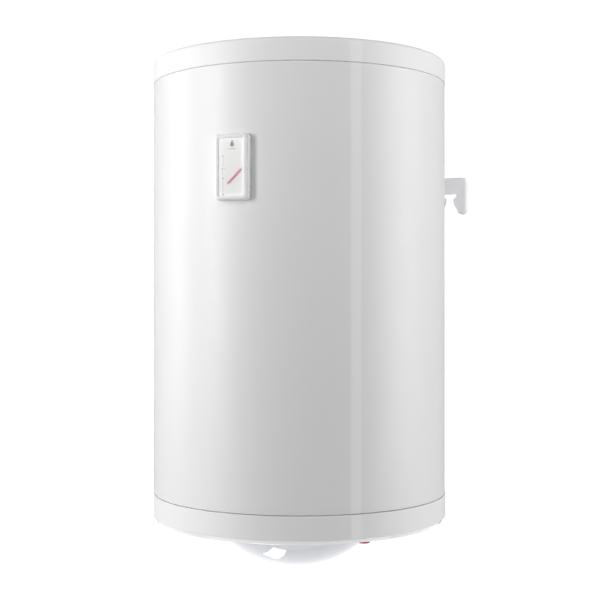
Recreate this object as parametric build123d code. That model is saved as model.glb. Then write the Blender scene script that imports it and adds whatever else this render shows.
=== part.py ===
from build123d import *

import math
import os

# Wall-hung electric storage water heater, in millimetres.
# +Z is up, -Y is the front and +X is to the right seen from the front. The origin lies on the
# wall, midway between the two hanging screws and level with them.

# Body: a rolled mantle between two moulded caps.
BODY_RADIUS = 227.0
BODY_HEIGHT = 702.0
WALL_GAP = 7.0
HANGER_TO_RIM = 196.0
MANTLE_SHEET = 0.8
CAP_PROUD = 1.0
CAP_WALL = 2.5
CAP_CORNER = 6.0
TOP_SKIRT = 34.3
BOTTOM_SKIRT = 35.2
CROWN_RISE = 20.0
LIP_DEPTH = 6.0
LIP_STEP = 1.0
SPIGOT_DEPTH = 12.0
SPIGOT_WALL = 2.0
SPIGOT_ROOT = 4.0
SEAM_CHAMFER = 0.8
LOCK_SEAM_WIDTH = 7.0
LOCK_SEAM_PROUD = 0.8
LOCK_SEAM_TURN = -150.0

# Clearances: between fitted pieces, round a shaft that turns, and past the end of one.
FIT = 0.2
RUN = 0.05
END_ROOM = 1.0

# Tank: a welded shell with two torispherical ends, set in foam.
FOAM_THICKNESS = 23.0
TANK_WALL = 2.0
DISH_CROWN = 450.0
DISH_KNUCKLE = 30.0
TANK_BELOW_RIM = 8.0
TANK_ABOVE_FLOOR = 40.0
FOAM_ABOVE_FLOOR = 15.0
POCKET_ROOM = 3.0

# Water pipes, with G1/2 threaded ends that point down. Their tops are set from the tank's ends
# where the pipes stand.
PIPE_SPREAD = 50.0
PIPE_FROM_WALL = 85.0
PIPE_DROP = 63.0
PIPE_RADIUS = 10.2
PIPE_BORE = 8.0
PIPE_ROOM = 1.0
THREAD_RADIUS = 10.48
THREAD_LENGTH = 20.0
HOT_BELOW_TOP = 9.66
COLD_RISE = 31.66
DIFFUSER_RADIUS = 16.0
DIFFUSER_HEIGHT = 22.0
DIFFUSER_WALL = 2.0
DIFFUSER_SLOT = 6.0
MARKER_RADIUS = 18.0
MARKER_HEIGHT = 4.0
PLUG_HEAD = 3.3
PLUG_HEAD_RADIUS = 10.2
PLUG_ROUND = 2.0
PLUG_STEM = 14.0

# Flange: a neck on the tank, closed by a plate that carries the element, anode and thermostat.
DOME_FORWARD = 14.0
NECK_RADIUS = 70.0
NECK_WALL = 4.0
NECK_INSIDE = 14.0
COLLAR_RADIUS = 90.0
COLLAR_THICKNESS = 8.0
COLLAR_ABOVE_FLOOR = 20.0
GASKET_THICKNESS = 3.0
PLATE_THICKNESS = 4.0
PLATE_RADIUS = 88.0
STUD_CIRCLE = 79.0
STUD_COUNT = 6
STUD_RADIUS = 4.0
STUD_HEAD_RADIUS = 6.5
STUD_HEAD = 3.0
STUD_TAIL = 12.0
NUT_FLATS = 13.0
NUT_HEIGHT = 6.5

# Electric element, anode and thermostat sheath on the flange plate.
ELEMENT_SPREAD = 34.0
ELEMENT_RADIUS = 4.2
ELEMENT_HEIGHT = 230.0
ELEMENT_COLLAR = 7.0
ELEMENT_RIM = 2.0
ELEMENT_PIN_RADIUS = 2.0
ELEMENT_PIN = 12.0
ANODE_BACK = 42.0
ANODE_RADIUS = 11.0
ANODE_LENGTH = 200.0
ANODE_WASHER_RADIUS = 12.0
ANODE_WASHER = 2.0
SHEATH_RADIUS = 6.0
SHEATH_WALL = 0.8
SHEATH_LENGTH = 190.0
SHEATH_RIM_RADIUS = 8.5
SHEATH_RIM = 1.5
PROBE_RADIUS = 4.0
PROBE_LENGTH = 175.0

# Thermostat and terminal block, in the space under the flange plate.
THERMOSTAT_WIDTH = 54.0
THERMOSTAT_DEPTH = 42.0
THERMOSTAT_HEIGHT = 34.0
THERMOSTAT_BELOW_PLATE = 13.0
THERMOSTAT_NECK_RADIUS = 9.0
THERMOSTAT_CORNER = 3.0
RESET_SIDE = 18.0
RESET_RADIUS = 3.0
RESET_CLEARANCE = 0.3
RESET_LENGTH = 8.0
RESET_PROUD = 3.0
RESET_TRAVEL = 2.0
RESET_ROUND = 0.8
TERMINAL_WIDTH = 40.0
TERMINAL_DEPTH = 20.0
TERMINAL_HEIGHT = 18.0
TERMINAL_FORWARD = 56.0
TERMINAL_PITCH = 12.0
TERMINAL_SCREW_RADIUS = 2.2
TERMINAL_SCREW = 9.0
TERMINAL_SINK = 2.0
EARTH_SIDE = 48.0
EARTH_BACK = 25.0
EARTH_SCREW_RADIUS = 2.5
EARTH_HEAD_RADIUS = 4.5
EARTH_HEAD = 3.3
EARTH_LUG_RADIUS = 5.5
EARTH_LUG = 1.2
EARTH_TANG = 2.0
WIRE_RADIUS = 1.2
WIRE_SIDE = 8.0
WIRE_DROP = 13.0
WIRE_BEND = 6.0
LAMP_WIRE_RADIUS = 0.9
LAMP_WIRE_SIDE = 3.0

# Flange cover: a spherical shell with a flush knob in its middle.
DOME_RADIUS = 160.0
DOME_DROP = 71.0
DOME_WALL = 2.5
COVER_LAND = 27.0
COVER_LIP = 9.0
COVER_LIP_WALL = 2.5
COVER_LIP_CLEARANCE = 0.5
HOOK_WIDTH = 16.0
HOOK_REACH = 3.0
HOOK_THICKNESS = 2.8
SCREW_INSET = 15.0
SCREW_TURN = 40.0
SCREW_RADIUS = 2.0
SCREW_HEAD_RADIUS = 4.2
SCREW_HEAD = 3.0
SCREW_SEAT = 5.0
SCREW_LENGTH = 15.0
SCREW_WELL_RADIUS = 5.0
SCREW_BOSS_RADIUS = 7.5
CAP_BOSS_RADIUS = 5.0
CAP_BOSS_HEIGHT = 12.0
KNOB_RADIUS = 32.0
KNOB_CLEARANCE = 0.35
KNOB_DEPTH = 13.0
KNOB_FACE = 8.5
KNOB_SKIRT = 2.5
KNOB_DISH_RADIUS = 27.0
KNOB_DISH = 3.5
KNOB_BAR = 10.0
KNOB_HUB_RADIUS = 6.5
KNOB_HUB = 15.0
KNOB_WELL_WALL = 2.0
SHAFT_RADIUS = 3.0
SHAFT_IN_BODY = 9.0
SHAFT_ABOVE_BOTTOM = 4.5
LAMP_BACK = 48.0
LAMP_RADIUS = 5.0
LAMP_PROUD = 1.5
LAMP_FLANGE_RADIUS = 7.0
LAMP_FLANGE = 1.5
LAMP_PAD = 1.5
LAMP_HOLDER_RADIUS = 6.5
LAMP_HOLDER = 16.0

# Cable gland through the floor of the bottom cap.
GLAND_FROM_WALL = 75.0
GLAND_BORE = 4.5
GLAND_STEM_RADIUS = 7.5
GLAND_STEM = 9.0
GLAND_HEX_FLATS = 19.0
GLAND_HEX = 12.0
GLAND_NUT_FLATS = 22.0
GLAND_NUT = 4.0

# Wall bracket: a pressed channel with an open slot near each end.
SLOT_SPACING = 350.0
BRACKET_OVERHANG = 29.2
BRACKET_TOP = 32.8
BRACKET_LEG_BOTTOM = -29.0
BEAM_BOTTOM = -14.0
BRACKET_CLEARANCE = 0.2
BRACKET_SHEET = 3.0
BRACKET_BEND = 5.0
BRACKET_CORNER = 7.5
BRACKET_CROOK = 6.0
LEG_RADIUS = 8.3
SLOT_TOP = 5.0
SLOT_HEAD_HALF = 11.5
SLOT_HEAD_SIDE = 1.5
SLOT_BARB_HALF = 6.1
SLOT_BARB = -3.4
SLOT_THROAT_HALF = 7.4
SLOT_THROAT = -12.6
POST_SPREAD = 60.0
POST_WIDTH = 30.0
POST_HEIGHT = 36.0
POST_SHEET = 3.0
POST_WINDOW = 1.0
BOLT_RADIUS = 4.0
BOLT_LENGTH = 16.0
BOLT_HEAD_RADIUS = 8.0
BOLT_HEAD = 3.2

# Lower wall spacer: a moulded pad pushed into the mantle.
SPACER_ABOVE_SEAM = 30.0
SPACER_WIDTH = 60.0
SPACER_HEIGHT = 30.0
SPACER_CORNER = 4.0
SPACER_PEG_RADIUS = 4.0
SPACER_PEG = 13.0

# Thermometer on the front of the mantle. Its centre is below the upper rim.
THERMO_BELOW_RIM = 180.7
THERMO_WIDTH = 46.0
THERMO_HEIGHT = 92.0
THERMO_PROUD = 11.0
THERMO_CORNER = 5.0
THERMO_EDGE = 2.0
THERMO_BORDER = 5.5
THERMO_REBATE = 1.0
DIAL_SUNK = 4.0
DIAL_THICKNESS = 2.0
PEG_RADIUS = 2.0
PEG_LENGTH = 8.0
PIVOT_INSET = 0.9
PIVOT_BELOW = 3.9
PIVOT_RELIEF = 4.0
PIVOT_HEADROOM = 3.2
NEEDLE_LENGTH = 28.2
NEEDLE_FALL = 43.0
NEEDLE_WIDTH = 2.6
NEEDLE_TIP = 1.4
NEEDLE_HUB = 2.4
NEEDLE_THICKNESS = 0.8
NEEDLE_ABOVE_DIAL = 1.1
SPINDLE_RADIUS = 0.8
SPINDLE_HEAD_RADIUS = 1.5
SPINDLE_HEAD = 0.8
SPINDLE_LENGTH = 18.0
CUP_RADIUS = 4.5
CUP_WALL = 0.6
SPIRAL_FIRST = 1.3
SPIRAL_STEP = 0.34
SPIRAL_TURNS = 3
SPIRAL_STRIP = 0.2
SPIRAL_WIDTH = 3.0
SPIRAL_BELOW_DIAL = 8.0

# Levels and centres that follow from the sizes above.
BODY_Y = -(BODY_RADIUS + WALL_GAP)
TOP_RIM = HANGER_TO_RIM
TOP_SEAM = TOP_RIM - TOP_SKIRT
BOTTOM_RIM = TOP_RIM - BODY_HEIGHT
BOTTOM_SEAM = BOTTOM_RIM + BOTTOM_SKIRT
FLOOR = BOTTOM_RIM - LIP_DEPTH
CAP_RADIUS = BODY_RADIUS + CAP_PROUD
SPIGOT_RADIUS = BODY_RADIUS - MANTLE_SHEET - FIT
TANK_RADIUS = BODY_RADIUS - FOAM_THICKNESS
DISH_RISE = math.sqrt((DISH_CROWN - DISH_KNUCKLE) ** 2 - (TANK_RADIUS - DISH_KNUCKLE) ** 2)
DISH_DEPTH = DISH_CROWN - DISH_RISE
TANK_TOP = TOP_RIM - TANK_BELOW_RIM
TANK_BOTTOM = FLOOR + TANK_ABOVE_FLOOR
UPPER_SPRING = TANK_TOP - DISH_DEPTH
LOWER_SPRING = TANK_BOTTOM + DISH_DEPTH
FOAM_BOTTOM = FLOOR + FOAM_ABOVE_FLOOR
PIPE_END = FLOOR - PIPE_DROP
PIPE_Y = -PIPE_FROM_WALL
DOME_Y = BODY_Y - DOME_FORWARD
DOME_BOTTOM = FLOOR - DOME_DROP
DOME_CENTRE = DOME_BOTTOM + DOME_RADIUS
DOME_BASE = math.sqrt(DOME_RADIUS**2 - (DOME_RADIUS - DOME_DROP) ** 2)
COVER_OPENING = DOME_BASE - COVER_LAND
SCREW_CIRCLE = DOME_BASE - SCREW_INSET
COLLAR_FACE = FLOOR + COLLAR_ABOVE_FLOOR
PLATE_TOP = COLLAR_FACE - GASKET_THICKNESS
PLATE_LOW = PLATE_TOP - PLATE_THICKNESS
THERMOSTAT_TOP = PLATE_LOW - THERMOSTAT_BELOW_PLATE
THERMOSTAT_LOW = THERMOSTAT_TOP - THERMOSTAT_HEIGHT
LAMP_Y = DOME_Y + LAMP_BACK
LAMP_SKIN = DOME_CENTRE - math.sqrt(DOME_RADIUS**2 - LAMP_BACK**2)
LAMP_SEAT = DOME_CENTRE - math.sqrt(
    (DOME_RADIUS - DOME_WALL) ** 2 - (LAMP_BACK + LAMP_FLANGE_RADIUS + LAMP_PAD) ** 2
)
SLOT_X = SLOT_SPACING / 2
BRACKET_FRONT = -(WALL_GAP - BRACKET_CLEARANCE)
BRACKET_BACK = BRACKET_FRONT + BRACKET_SHEET
BEAM_MIDDLE = (BRACKET_TOP + BEAM_BOTTOM) / 2
SPACER_Z = BOTTOM_SEAM + SPACER_ABOVE_SEAM
THERMO_Z = TOP_RIM - THERMO_BELOW_RIM
THERMO_FACE = BODY_Y - BODY_RADIUS - THERMO_PROUD
DIAL_FACE = THERMO_FACE + DIAL_SUNK
DIAL_BACK = DIAL_FACE + DIAL_THICKNESS
PIVOT_SIDE = THERMO_WIDTH / 2 - THERMO_BORDER - PIVOT_INSET
PIVOT_Z = THERMO_Z - PIVOT_BELOW
NEEDLE_BACK = DIAL_FACE - NEEDLE_ABOVE_DIAL


# Shapes that several pieces share.
def post(radius, low, high, x=0.0, y=BODY_Y):
    """A round bar that stands between two heights."""
    return Pos(x, y, (low + high) / 2) * Cylinder(radius, high - low)


def tube(outer, inner, low, high, x=0.0, y=BODY_Y):
    """A round tube that stands between two heights."""
    return post(outer, low, high, x, y) - post(inner, low, high, x, y)


def bar(radius, back, front, x, z):
    """A round bar along Y, between two depths."""
    return Pos(x, (back + front) / 2, z) * Rot(90, 0, 0) * Cylinder(radius, abs(back - front))


def block(x, y, z):
    """A box between the two limits given for each axis."""
    middle = [(low + high) / 2 for low, high in (x, y, z)]
    size = [abs(high - low) for low, high in (x, y, z)]
    return Pos(*middle) * Box(*size)


def hexagon(flats, low, high, x, y):
    """A hexagonal prism that stands between two heights."""
    corner = flats / math.sqrt(3)
    return Pos(x, y, low) * extrude(RegularPolygon(corner, 6), amount=high - low)


def plate(sketch, back, front):
    """A flat outline in X and Z, drawn at its place, given its thickness along Y."""
    return Pos(0, back, 0) * extrude(Plane.XZ * sketch, amount=back - front)


def turn(outline, y=BODY_Y):
    """The closed outline, in radius and height, turned about an upright axis."""
    return Pos(0, y, 0) * revolve(Plane.XZ * make_face(outline), Axis.Z)


def ball(radius):
    """The sphere that the flange cover is cut from."""
    return Pos(0, DOME_Y, DOME_CENTRE) * Sphere(radius)


def round_circle(count, radius, first=0.0, x=0.0, y=DOME_Y):
    """Places in plan on a circle, counted from +X."""
    turns = [math.radians(first + 360 * step / count) for step in range(count)]
    return [(x + radius * math.cos(a), y + radius * math.sin(a)) for a in turns]


def lead(radius, *points):
    """A wire along straight runs with rounded corners."""
    if len(points) == 2:
        path = Line(*points)
    else:
        path = FilletPolyline(*points, radius=WIRE_BEND)
    return sweep(Plane(path @ 0, z_dir=path % 0) * Circle(radius), path=path)


def crowned(radius, low, rim, corner, rise):
    """A solid with a flat bottom, a rounded shoulder and a crowned top."""
    flat = radius - corner
    crown = (flat**2 + rise**2) / (2 * rise)
    half = flat / 2
    swing = corner * math.sqrt(0.5)
    outline = Polyline((0, low), (radius, low), (radius, rim - corner))
    outline += ThreePointArc(
        (radius, rim - corner), (flat + swing, rim - corner + swing), (flat, rim)
    )
    outline += ThreePointArc(
        (flat, rim), (half, rim + rise - crown + math.sqrt(crown**2 - half**2)), (0, rim + rise)
    )
    outline += Line((0, rim + rise), (0, low))
    return turn(outline)


def lipped(radius, top, rim, step, lip):
    """A solid with a flat top and, below its rim, a step and a rounded lip down to its floor."""
    inner = radius - step
    flat = inner - lip
    swing = lip * math.sqrt(0.5)
    outline = Polyline((0, rim - lip), (0, top), (radius, top), (radius, rim), (inner, rim))
    outline += ThreePointArc((inner, rim), (flat + swing, rim - swing), (flat, rim - lip))
    outline += Line((flat, rim - lip), (0, rim - lip))
    return turn(outline)


def dished(inset, spring, way):
    """A torispherical end from its spring line out to its top, inset from the outer skin."""
    radius = TANK_RADIUS - inset
    crown = DISH_CROWN - inset
    knuckle = DISH_KNUCKLE - inset
    reach = radius - knuckle
    lean = math.atan2(DISH_RISE, reach)
    half = lean / 2
    steep = (lean + math.pi / 2) / 2
    start = (radius, 0)
    bend = (reach + knuckle * math.cos(half), knuckle * math.sin(half))
    meet = (reach + knuckle * math.cos(lean), knuckle * math.sin(lean))
    cheek = (crown * math.cos(steep), crown * math.sin(steep) - DISH_RISE)
    top = (0, crown - DISH_RISE)
    outline = ThreePointArc(start, bend, meet) + ThreePointArc(meet, cheek, top)
    outline += Polyline(top, (0, 0), start)
    end = revolve(Plane.XZ * make_face(outline), Axis.Z)
    facing = Rot(0, 0, 0) if way > 0 else Rot(180, 0, 0)
    return Pos(0, BODY_Y, spring) * facing * end


def dish_height(x, y):
    """How far a dished end stands out from its spring line over a place on the plan."""
    off = math.hypot(x, y - BODY_Y)
    knuckle_off = TANK_RADIUS - DISH_KNUCKLE
    if off <= DISH_CROWN * knuckle_off / (DISH_CROWN - DISH_KNUCKLE):
        return math.sqrt(DISH_CROWN**2 - off**2) - DISH_RISE
    return math.sqrt(DISH_KNUCKLE**2 - (off - knuckle_off) ** 2)


def tank_form(grow):
    """The whole outside of the tank, grown by a clearance."""
    shell = post(TANK_RADIUS + grow, LOWER_SPRING, UPPER_SPRING)
    return shell + dished(-grow, UPPER_SPRING, 1) + dished(-grow, LOWER_SPRING, -1)


# Body.
def mantle():
    """Rolled sheet with a lock seam, post windows and the holes that the trim clips into."""
    sheet = tube(BODY_RADIUS, BODY_RADIUS - MANTLE_SHEET, BOTTOM_SEAM, TOP_SEAM)
    seam = block(
        (-LOCK_SEAM_WIDTH / 2, LOCK_SEAM_WIDTH / 2),
        (-BODY_RADIUS - LOCK_SEAM_PROUD, -BODY_RADIUS + MANTLE_SHEET / 2),
        (BOTTOM_SEAM, TOP_SEAM),
    )
    sheet += Pos(0, BODY_Y, 0) * Rot(0, 0, LOCK_SEAM_TURN) * seam
    for side in (-1, 1):
        sheet -= hanger_block(side, POST_WINDOW)
    sheet -= bar(SPACER_PEG_RADIUS + FIT, -WALL_GAP - SPACER_PEG, 0, 0, SPACER_Z)
    sheet -= bar(CUP_RADIUS + FIT, BODY_Y, THERMO_FACE, PIVOT_SIDE, PIVOT_Z)
    for x, z in peg_places():
        sheet -= bar(PEG_RADIUS + FIT, BODY_Y, THERMO_FACE, x, z)
    return sheet


def top_cap():
    """Moulded cap with a crowned top, a skirt and a spigot that enters the mantle."""
    cap = crowned(CAP_RADIUS, TOP_SEAM, TOP_RIM, CAP_CORNER, CROWN_RISE)
    cap = chamfer(cap.edges().group_by(Axis.Z)[0], SEAM_CHAMFER)
    cap -= crowned(
        CAP_RADIUS - CAP_WALL, TOP_SEAM, TOP_RIM - CAP_WALL, CAP_CORNER - CAP_WALL, CROWN_RISE
    )
    spigot_low, spigot_high = TOP_SEAM - SPIGOT_DEPTH, TOP_SEAM + SPIGOT_ROOT
    return cap + tube(SPIGOT_RADIUS, SPIGOT_RADIUS - SPIGOT_WALL, spigot_low, spigot_high)


def bottom_cap():
    """Moulded cap with a rounded lip and a flat floor that the pipes and the cover meet."""
    cap = lipped(CAP_RADIUS, BOTTOM_SEAM, BOTTOM_RIM, LIP_STEP, LIP_DEPTH)
    cap = chamfer(cap.edges().group_by(Axis.Z)[-1], SEAM_CHAMFER)
    cap -= lipped(
        CAP_RADIUS - CAP_WALL,
        BOTTOM_SEAM,
        FLOOR + LIP_DEPTH,
        LIP_STEP,
        LIP_DEPTH - CAP_WALL,
    )
    spigot_low, spigot_high = BOTTOM_SEAM - SPIGOT_ROOT, BOTTOM_SEAM + SPIGOT_DEPTH
    cap += tube(SPIGOT_RADIUS, SPIGOT_RADIUS - SPIGOT_WALL, spigot_low, spigot_high)
    for x, y in cover_screw_places():
        cap += post(CAP_BOSS_RADIUS, FLOOR, FLOOR + CAP_BOSS_HEIGHT, x, y)
        cap -= post(SCREW_RADIUS + RUN, FLOOR, FLOOR + CAP_BOSS_HEIGHT, x, y)
    cap -= post(COVER_OPENING, FLOOR, FLOOR + CAP_WALL, y=DOME_Y)
    cap -= post(GLAND_STEM_RADIUS + FIT, FLOOR, FLOOR + CAP_WALL, y=-GLAND_FROM_WALL)
    for x in (-PIPE_SPREAD, PIPE_SPREAD):
        cap -= post(PIPE_RADIUS + PIPE_ROOM, FLOOR, FLOOR + CAP_WALL, x, PIPE_Y)
    return cap


def insulation_foam():
    """Foam that fills the space between the tank and the mantle."""
    core_radius = SPIGOT_RADIUS - SPIGOT_WALL - FIT
    foam = crowned(
        core_radius,
        FOAM_BOTTOM,
        TOP_RIM - CAP_WALL - FIT,
        CAP_CORNER,
        CROWN_RISE - FIT,
    )
    foam += post(
        SPIGOT_RADIUS, BOTTOM_SEAM + SPIGOT_DEPTH + FIT, TOP_SEAM - SPIGOT_DEPTH - FIT
    )
    foam -= tank_form(FIT)
    pocket_top = COLLAR_FACE + COLLAR_THICKNESS + STUD_HEAD + POCKET_ROOM
    foam -= post(COLLAR_RADIUS + POCKET_ROOM, FOAM_BOTTOM, pocket_top, y=DOME_Y)
    foam -= post(NECK_RADIUS + FIT, FOAM_BOTTOM, LOWER_SPRING, y=DOME_Y)
    for x in (-PIPE_SPREAD, PIPE_SPREAD):
        foam -= post(PIPE_RADIUS + FIT, FOAM_BOTTOM, LOWER_SPRING, x, PIPE_Y)
    for side in (-1, 1):
        foam -= hanger_block(side, FIT)
    foam -= bar(SPACER_PEG_RADIUS + FIT, -WALL_GAP - SPACER_PEG - FIT, 0, 0, SPACER_Z)
    foam -= bar(CUP_RADIUS + FIT, BODY_Y, THERMO_FACE, PIVOT_SIDE, PIVOT_Z)
    for x, z in peg_places():
        foam -= bar(PEG_RADIUS + FIT, BODY_Y - BODY_RADIUS + PEG_LENGTH + FIT, THERMO_FACE, x, z)
    return foam


# Tank and pipes.
def tank_shell():
    """Cylindrical middle of the tank."""
    return tube(TANK_RADIUS, TANK_RADIUS - TANK_WALL, LOWER_SPRING, UPPER_SPRING)


def tank_top_end():
    """Upper dished end."""
    return dished(0, UPPER_SPRING, 1) - dished(TANK_WALL, UPPER_SPRING, 1)


def tank_bottom_end():
    """Lower dished end, cut for the flange neck and the two pipes."""
    end = dished(0, LOWER_SPRING, -1) - dished(TANK_WALL, LOWER_SPRING, -1)
    end -= post(NECK_RADIUS + RUN, FLOOR, LOWER_SPRING, y=DOME_Y)
    for x in (-PIPE_SPREAD, PIPE_SPREAD):
        end -= post(PIPE_RADIUS + RUN, FLOOR, LOWER_SPRING, x, PIPE_Y)
    return end


def water_pipe(x, high):
    """A pipe with a threaded lower end."""
    pipe = post(PIPE_RADIUS, PIPE_END + THREAD_LENGTH, high, x, PIPE_Y)
    pipe += post(THREAD_RADIUS, PIPE_END, PIPE_END + THREAD_LENGTH, x, PIPE_Y)
    return pipe - post(PIPE_BORE, PIPE_END, high, x, PIPE_Y)


def hot_top():
    """Height of the hot pipe's open end, just under the tank's upper end."""
    return UPPER_SPRING + dish_height(PIPE_SPREAD, PIPE_Y) - HOT_BELOW_TOP


def cold_top():
    """Height that the cold inlet reaches inside the tank."""
    return LOWER_SPRING - dish_height(PIPE_SPREAD, PIPE_Y) + COLD_RISE


def inlet_diffuser():
    """Closed hood on the cold inlet, slotted so that the water enters sideways."""
    low = cold_top() - DIFFUSER_WALL
    high = low + DIFFUSER_HEIGHT
    hood = tube(DIFFUSER_RADIUS, DIFFUSER_RADIUS - DIFFUSER_WALL, low, high, -PIPE_SPREAD, PIPE_Y)
    hood += post(DIFFUSER_RADIUS, high - DIFFUSER_WALL, high, -PIPE_SPREAD, PIPE_Y)
    hood += tube(
        DIFFUSER_RADIUS, PIPE_RADIUS + RUN, low - DIFFUSER_WALL, low, -PIPE_SPREAD, PIPE_Y
    )
    slot_low, slot_high = low + DIFFUSER_SLOT, high - DIFFUSER_SLOT
    reach = DIFFUSER_RADIUS
    half = DIFFUSER_SLOT / 2
    centre = Pos(-PIPE_SPREAD, PIPE_Y, 0)
    hood -= centre * block((-reach, reach), (-half, half), (slot_low, slot_high))
    return hood - centre * block((-half, half), (-reach, reach), (slot_low, slot_high))


def marker_ring(x):
    """Coloured ring on the floor of the cap, round one pipe."""
    ring = post(MARKER_RADIUS, FLOOR - MARKER_HEIGHT, FLOOR, x, PIPE_Y)
    ring = fillet(ring.edges().group_by(Axis.Z)[0], MARKER_HEIGHT / 3)
    return ring - post(PIPE_RADIUS + FIT, FLOOR - MARKER_HEIGHT, FLOOR, x, PIPE_Y)


def pipe_plug(x):
    """Moulded plug that closes a pipe until it is connected."""
    head = post(PLUG_HEAD_RADIUS, PIPE_END - PLUG_HEAD, PIPE_END, x, PIPE_Y)
    head = fillet(head.edges().group_by(Axis.Z)[0], PLUG_ROUND)
    return head + post(PIPE_BORE - RUN, PIPE_END, PIPE_END + PLUG_STEM, x, PIPE_Y)


# Flange.
def stud_places():
    """Places of the flange studs in plan."""
    return round_circle(STUD_COUNT, STUD_CIRCLE, first=180 / STUD_COUNT)


def flange_neck():
    """Short neck through the lower dished end, with a collar that the studs stand in."""
    high = TANK_BOTTOM + NECK_INSIDE
    neck = tube(NECK_RADIUS, NECK_RADIUS - NECK_WALL, COLLAR_FACE, high, y=DOME_Y)
    seat = COLLAR_FACE + COLLAR_THICKNESS
    neck += tube(COLLAR_RADIUS, NECK_RADIUS - NECK_WALL, COLLAR_FACE, seat, y=DOME_Y)
    for x, y in stud_places():
        neck -= post(STUD_RADIUS + RUN, COLLAR_FACE, seat, x, y)
    return neck


def flange_studs():
    """Studs whose heads bear on the upper face of the collar."""
    seat = COLLAR_FACE + COLLAR_THICKNESS
    return [
        post(STUD_RADIUS, PLATE_LOW - STUD_TAIL, seat, x, y)
        + post(STUD_HEAD_RADIUS, seat, seat + STUD_HEAD, x, y)
        for x, y in stud_places()
    ]


def flange_gasket():
    """Rubber ring between the collar and the flange plate."""
    gasket = tube(PLATE_RADIUS, NECK_RADIUS - NECK_WALL, PLATE_TOP, COLLAR_FACE, y=DOME_Y)
    for x, y in stud_places():
        gasket -= post(STUD_RADIUS + FIT, PLATE_TOP, COLLAR_FACE, x, y)
    return gasket


def flange_plate():
    """Round steel plate with a hole for each piece that passes through it."""
    disc = post(PLATE_RADIUS, PLATE_LOW, PLATE_TOP, y=DOME_Y)
    holes = [(x, y, STUD_RADIUS + FIT) for x, y in stud_places()]
    holes += [(side * ELEMENT_SPREAD, DOME_Y, ELEMENT_RADIUS + RUN) for side in (-1, 1)]
    holes.append((0, DOME_Y + ANODE_BACK, STUD_RADIUS + FIT))
    holes.append((0, DOME_Y, SHEATH_RADIUS + RUN))
    holes.append((-EARTH_SIDE, DOME_Y + EARTH_BACK, EARTH_SCREW_RADIUS + RUN))
    for x, y, radius in holes:
        disc -= post(radius, PLATE_LOW, PLATE_TOP, x, y)
    return disc


def plate_nut(x, y):
    """Hexagonal nut under the flange plate."""
    nut = hexagon(NUT_FLATS, PLATE_LOW - NUT_HEIGHT, PLATE_LOW, x, y)
    return nut - post(STUD_RADIUS + RUN, PLATE_LOW - NUT_HEIGHT, PLATE_LOW, x, y)


def heating_element():
    """Sheathed element bent into one tall loop, with a connecting pin on each end."""
    top = PLATE_TOP + ELEMENT_HEIGHT
    low = PLATE_LOW - ELEMENT_RIM
    section = Circle(ELEMENT_RADIUS)
    path = Line((-ELEMENT_SPREAD, DOME_Y, low), (-ELEMENT_SPREAD, DOME_Y, top))
    left_top, right_top = (-ELEMENT_SPREAD, DOME_Y, top), (ELEMENT_SPREAD, DOME_Y, top)
    path += ThreePointArc(left_top, (0, DOME_Y, top + ELEMENT_SPREAD), right_top)
    path += Line(right_top, (ELEMENT_SPREAD, DOME_Y, low))
    element = sweep(Pos(-ELEMENT_SPREAD, DOME_Y, low) * section, path=path)
    for x in (-ELEMENT_SPREAD, ELEMENT_SPREAD):
        element += post(ELEMENT_COLLAR, low, PLATE_LOW, x, DOME_Y)
        element += post(ELEMENT_PIN_RADIUS, PLATE_LOW - ELEMENT_PIN, low, x, DOME_Y)
    return element


def anode_rod():
    """Magnesium rod cast on a steel stud that passes down through the plate."""
    y = DOME_Y + ANODE_BACK
    low = PLATE_TOP + ANODE_WASHER
    rod = post(ANODE_RADIUS, low, low + ANODE_LENGTH, y=y)
    return rod + post(STUD_RADIUS, PLATE_LOW - STUD_TAIL, low, y=y)


def anode_washer():
    """Insulating washer between the anode and the plate."""
    y = DOME_Y + ANODE_BACK
    return tube(ANODE_WASHER_RADIUS, STUD_RADIUS + FIT, PLATE_TOP, PLATE_TOP + ANODE_WASHER, y=y)


def thermostat_sheath():
    """Closed tube that stands up into the water, with a rim under the plate."""
    high = PLATE_TOP + SHEATH_LENGTH
    sheath = tube(SHEATH_RADIUS, SHEATH_RADIUS - SHEATH_WALL, PLATE_LOW, high, y=DOME_Y)
    sheath += post(SHEATH_RADIUS, high, high + SHEATH_WALL, y=DOME_Y)
    return sheath + tube(
        SHEATH_RIM_RADIUS, SHEATH_RADIUS - SHEATH_WALL, PLATE_LOW - SHEATH_RIM, PLATE_LOW, y=DOME_Y
    )


# Thermostat, terminals and wires.
def thermostat_probe():
    """Sensing rod that stands in the sheath, with the neck that it is screwed on by."""
    rod = post(PROBE_RADIUS, THERMOSTAT_TOP, PLATE_TOP + PROBE_LENGTH, y=DOME_Y)
    return rod + post(THERMOSTAT_NECK_RADIUS, THERMOSTAT_TOP, PLATE_LOW - SHEATH_RIM, y=DOME_Y)


def thermostat_body():
    """Moulded switch body, bored for the shaft and the reset button."""
    half_width, half_depth = THERMOSTAT_WIDTH / 2, THERMOSTAT_DEPTH / 2
    body = block(
        (-half_width, half_width),
        (DOME_Y - half_depth, DOME_Y + half_depth),
        (THERMOSTAT_LOW, THERMOSTAT_TOP),
    )
    body = fillet(body.edges().filter_by(Axis.Z), THERMOSTAT_CORNER)
    body -= post(SHAFT_RADIUS + RUN, THERMOSTAT_LOW, THERMOSTAT_LOW + SHAFT_IN_BODY, y=DOME_Y)
    bore = RESET_LENGTH - RESET_PROUD + RESET_TRAVEL + END_ROOM
    return body - post(
        RESET_RADIUS + RESET_CLEARANCE, THERMOSTAT_LOW, THERMOSTAT_LOW + bore, RESET_SIDE, DOME_Y
    )


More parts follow.
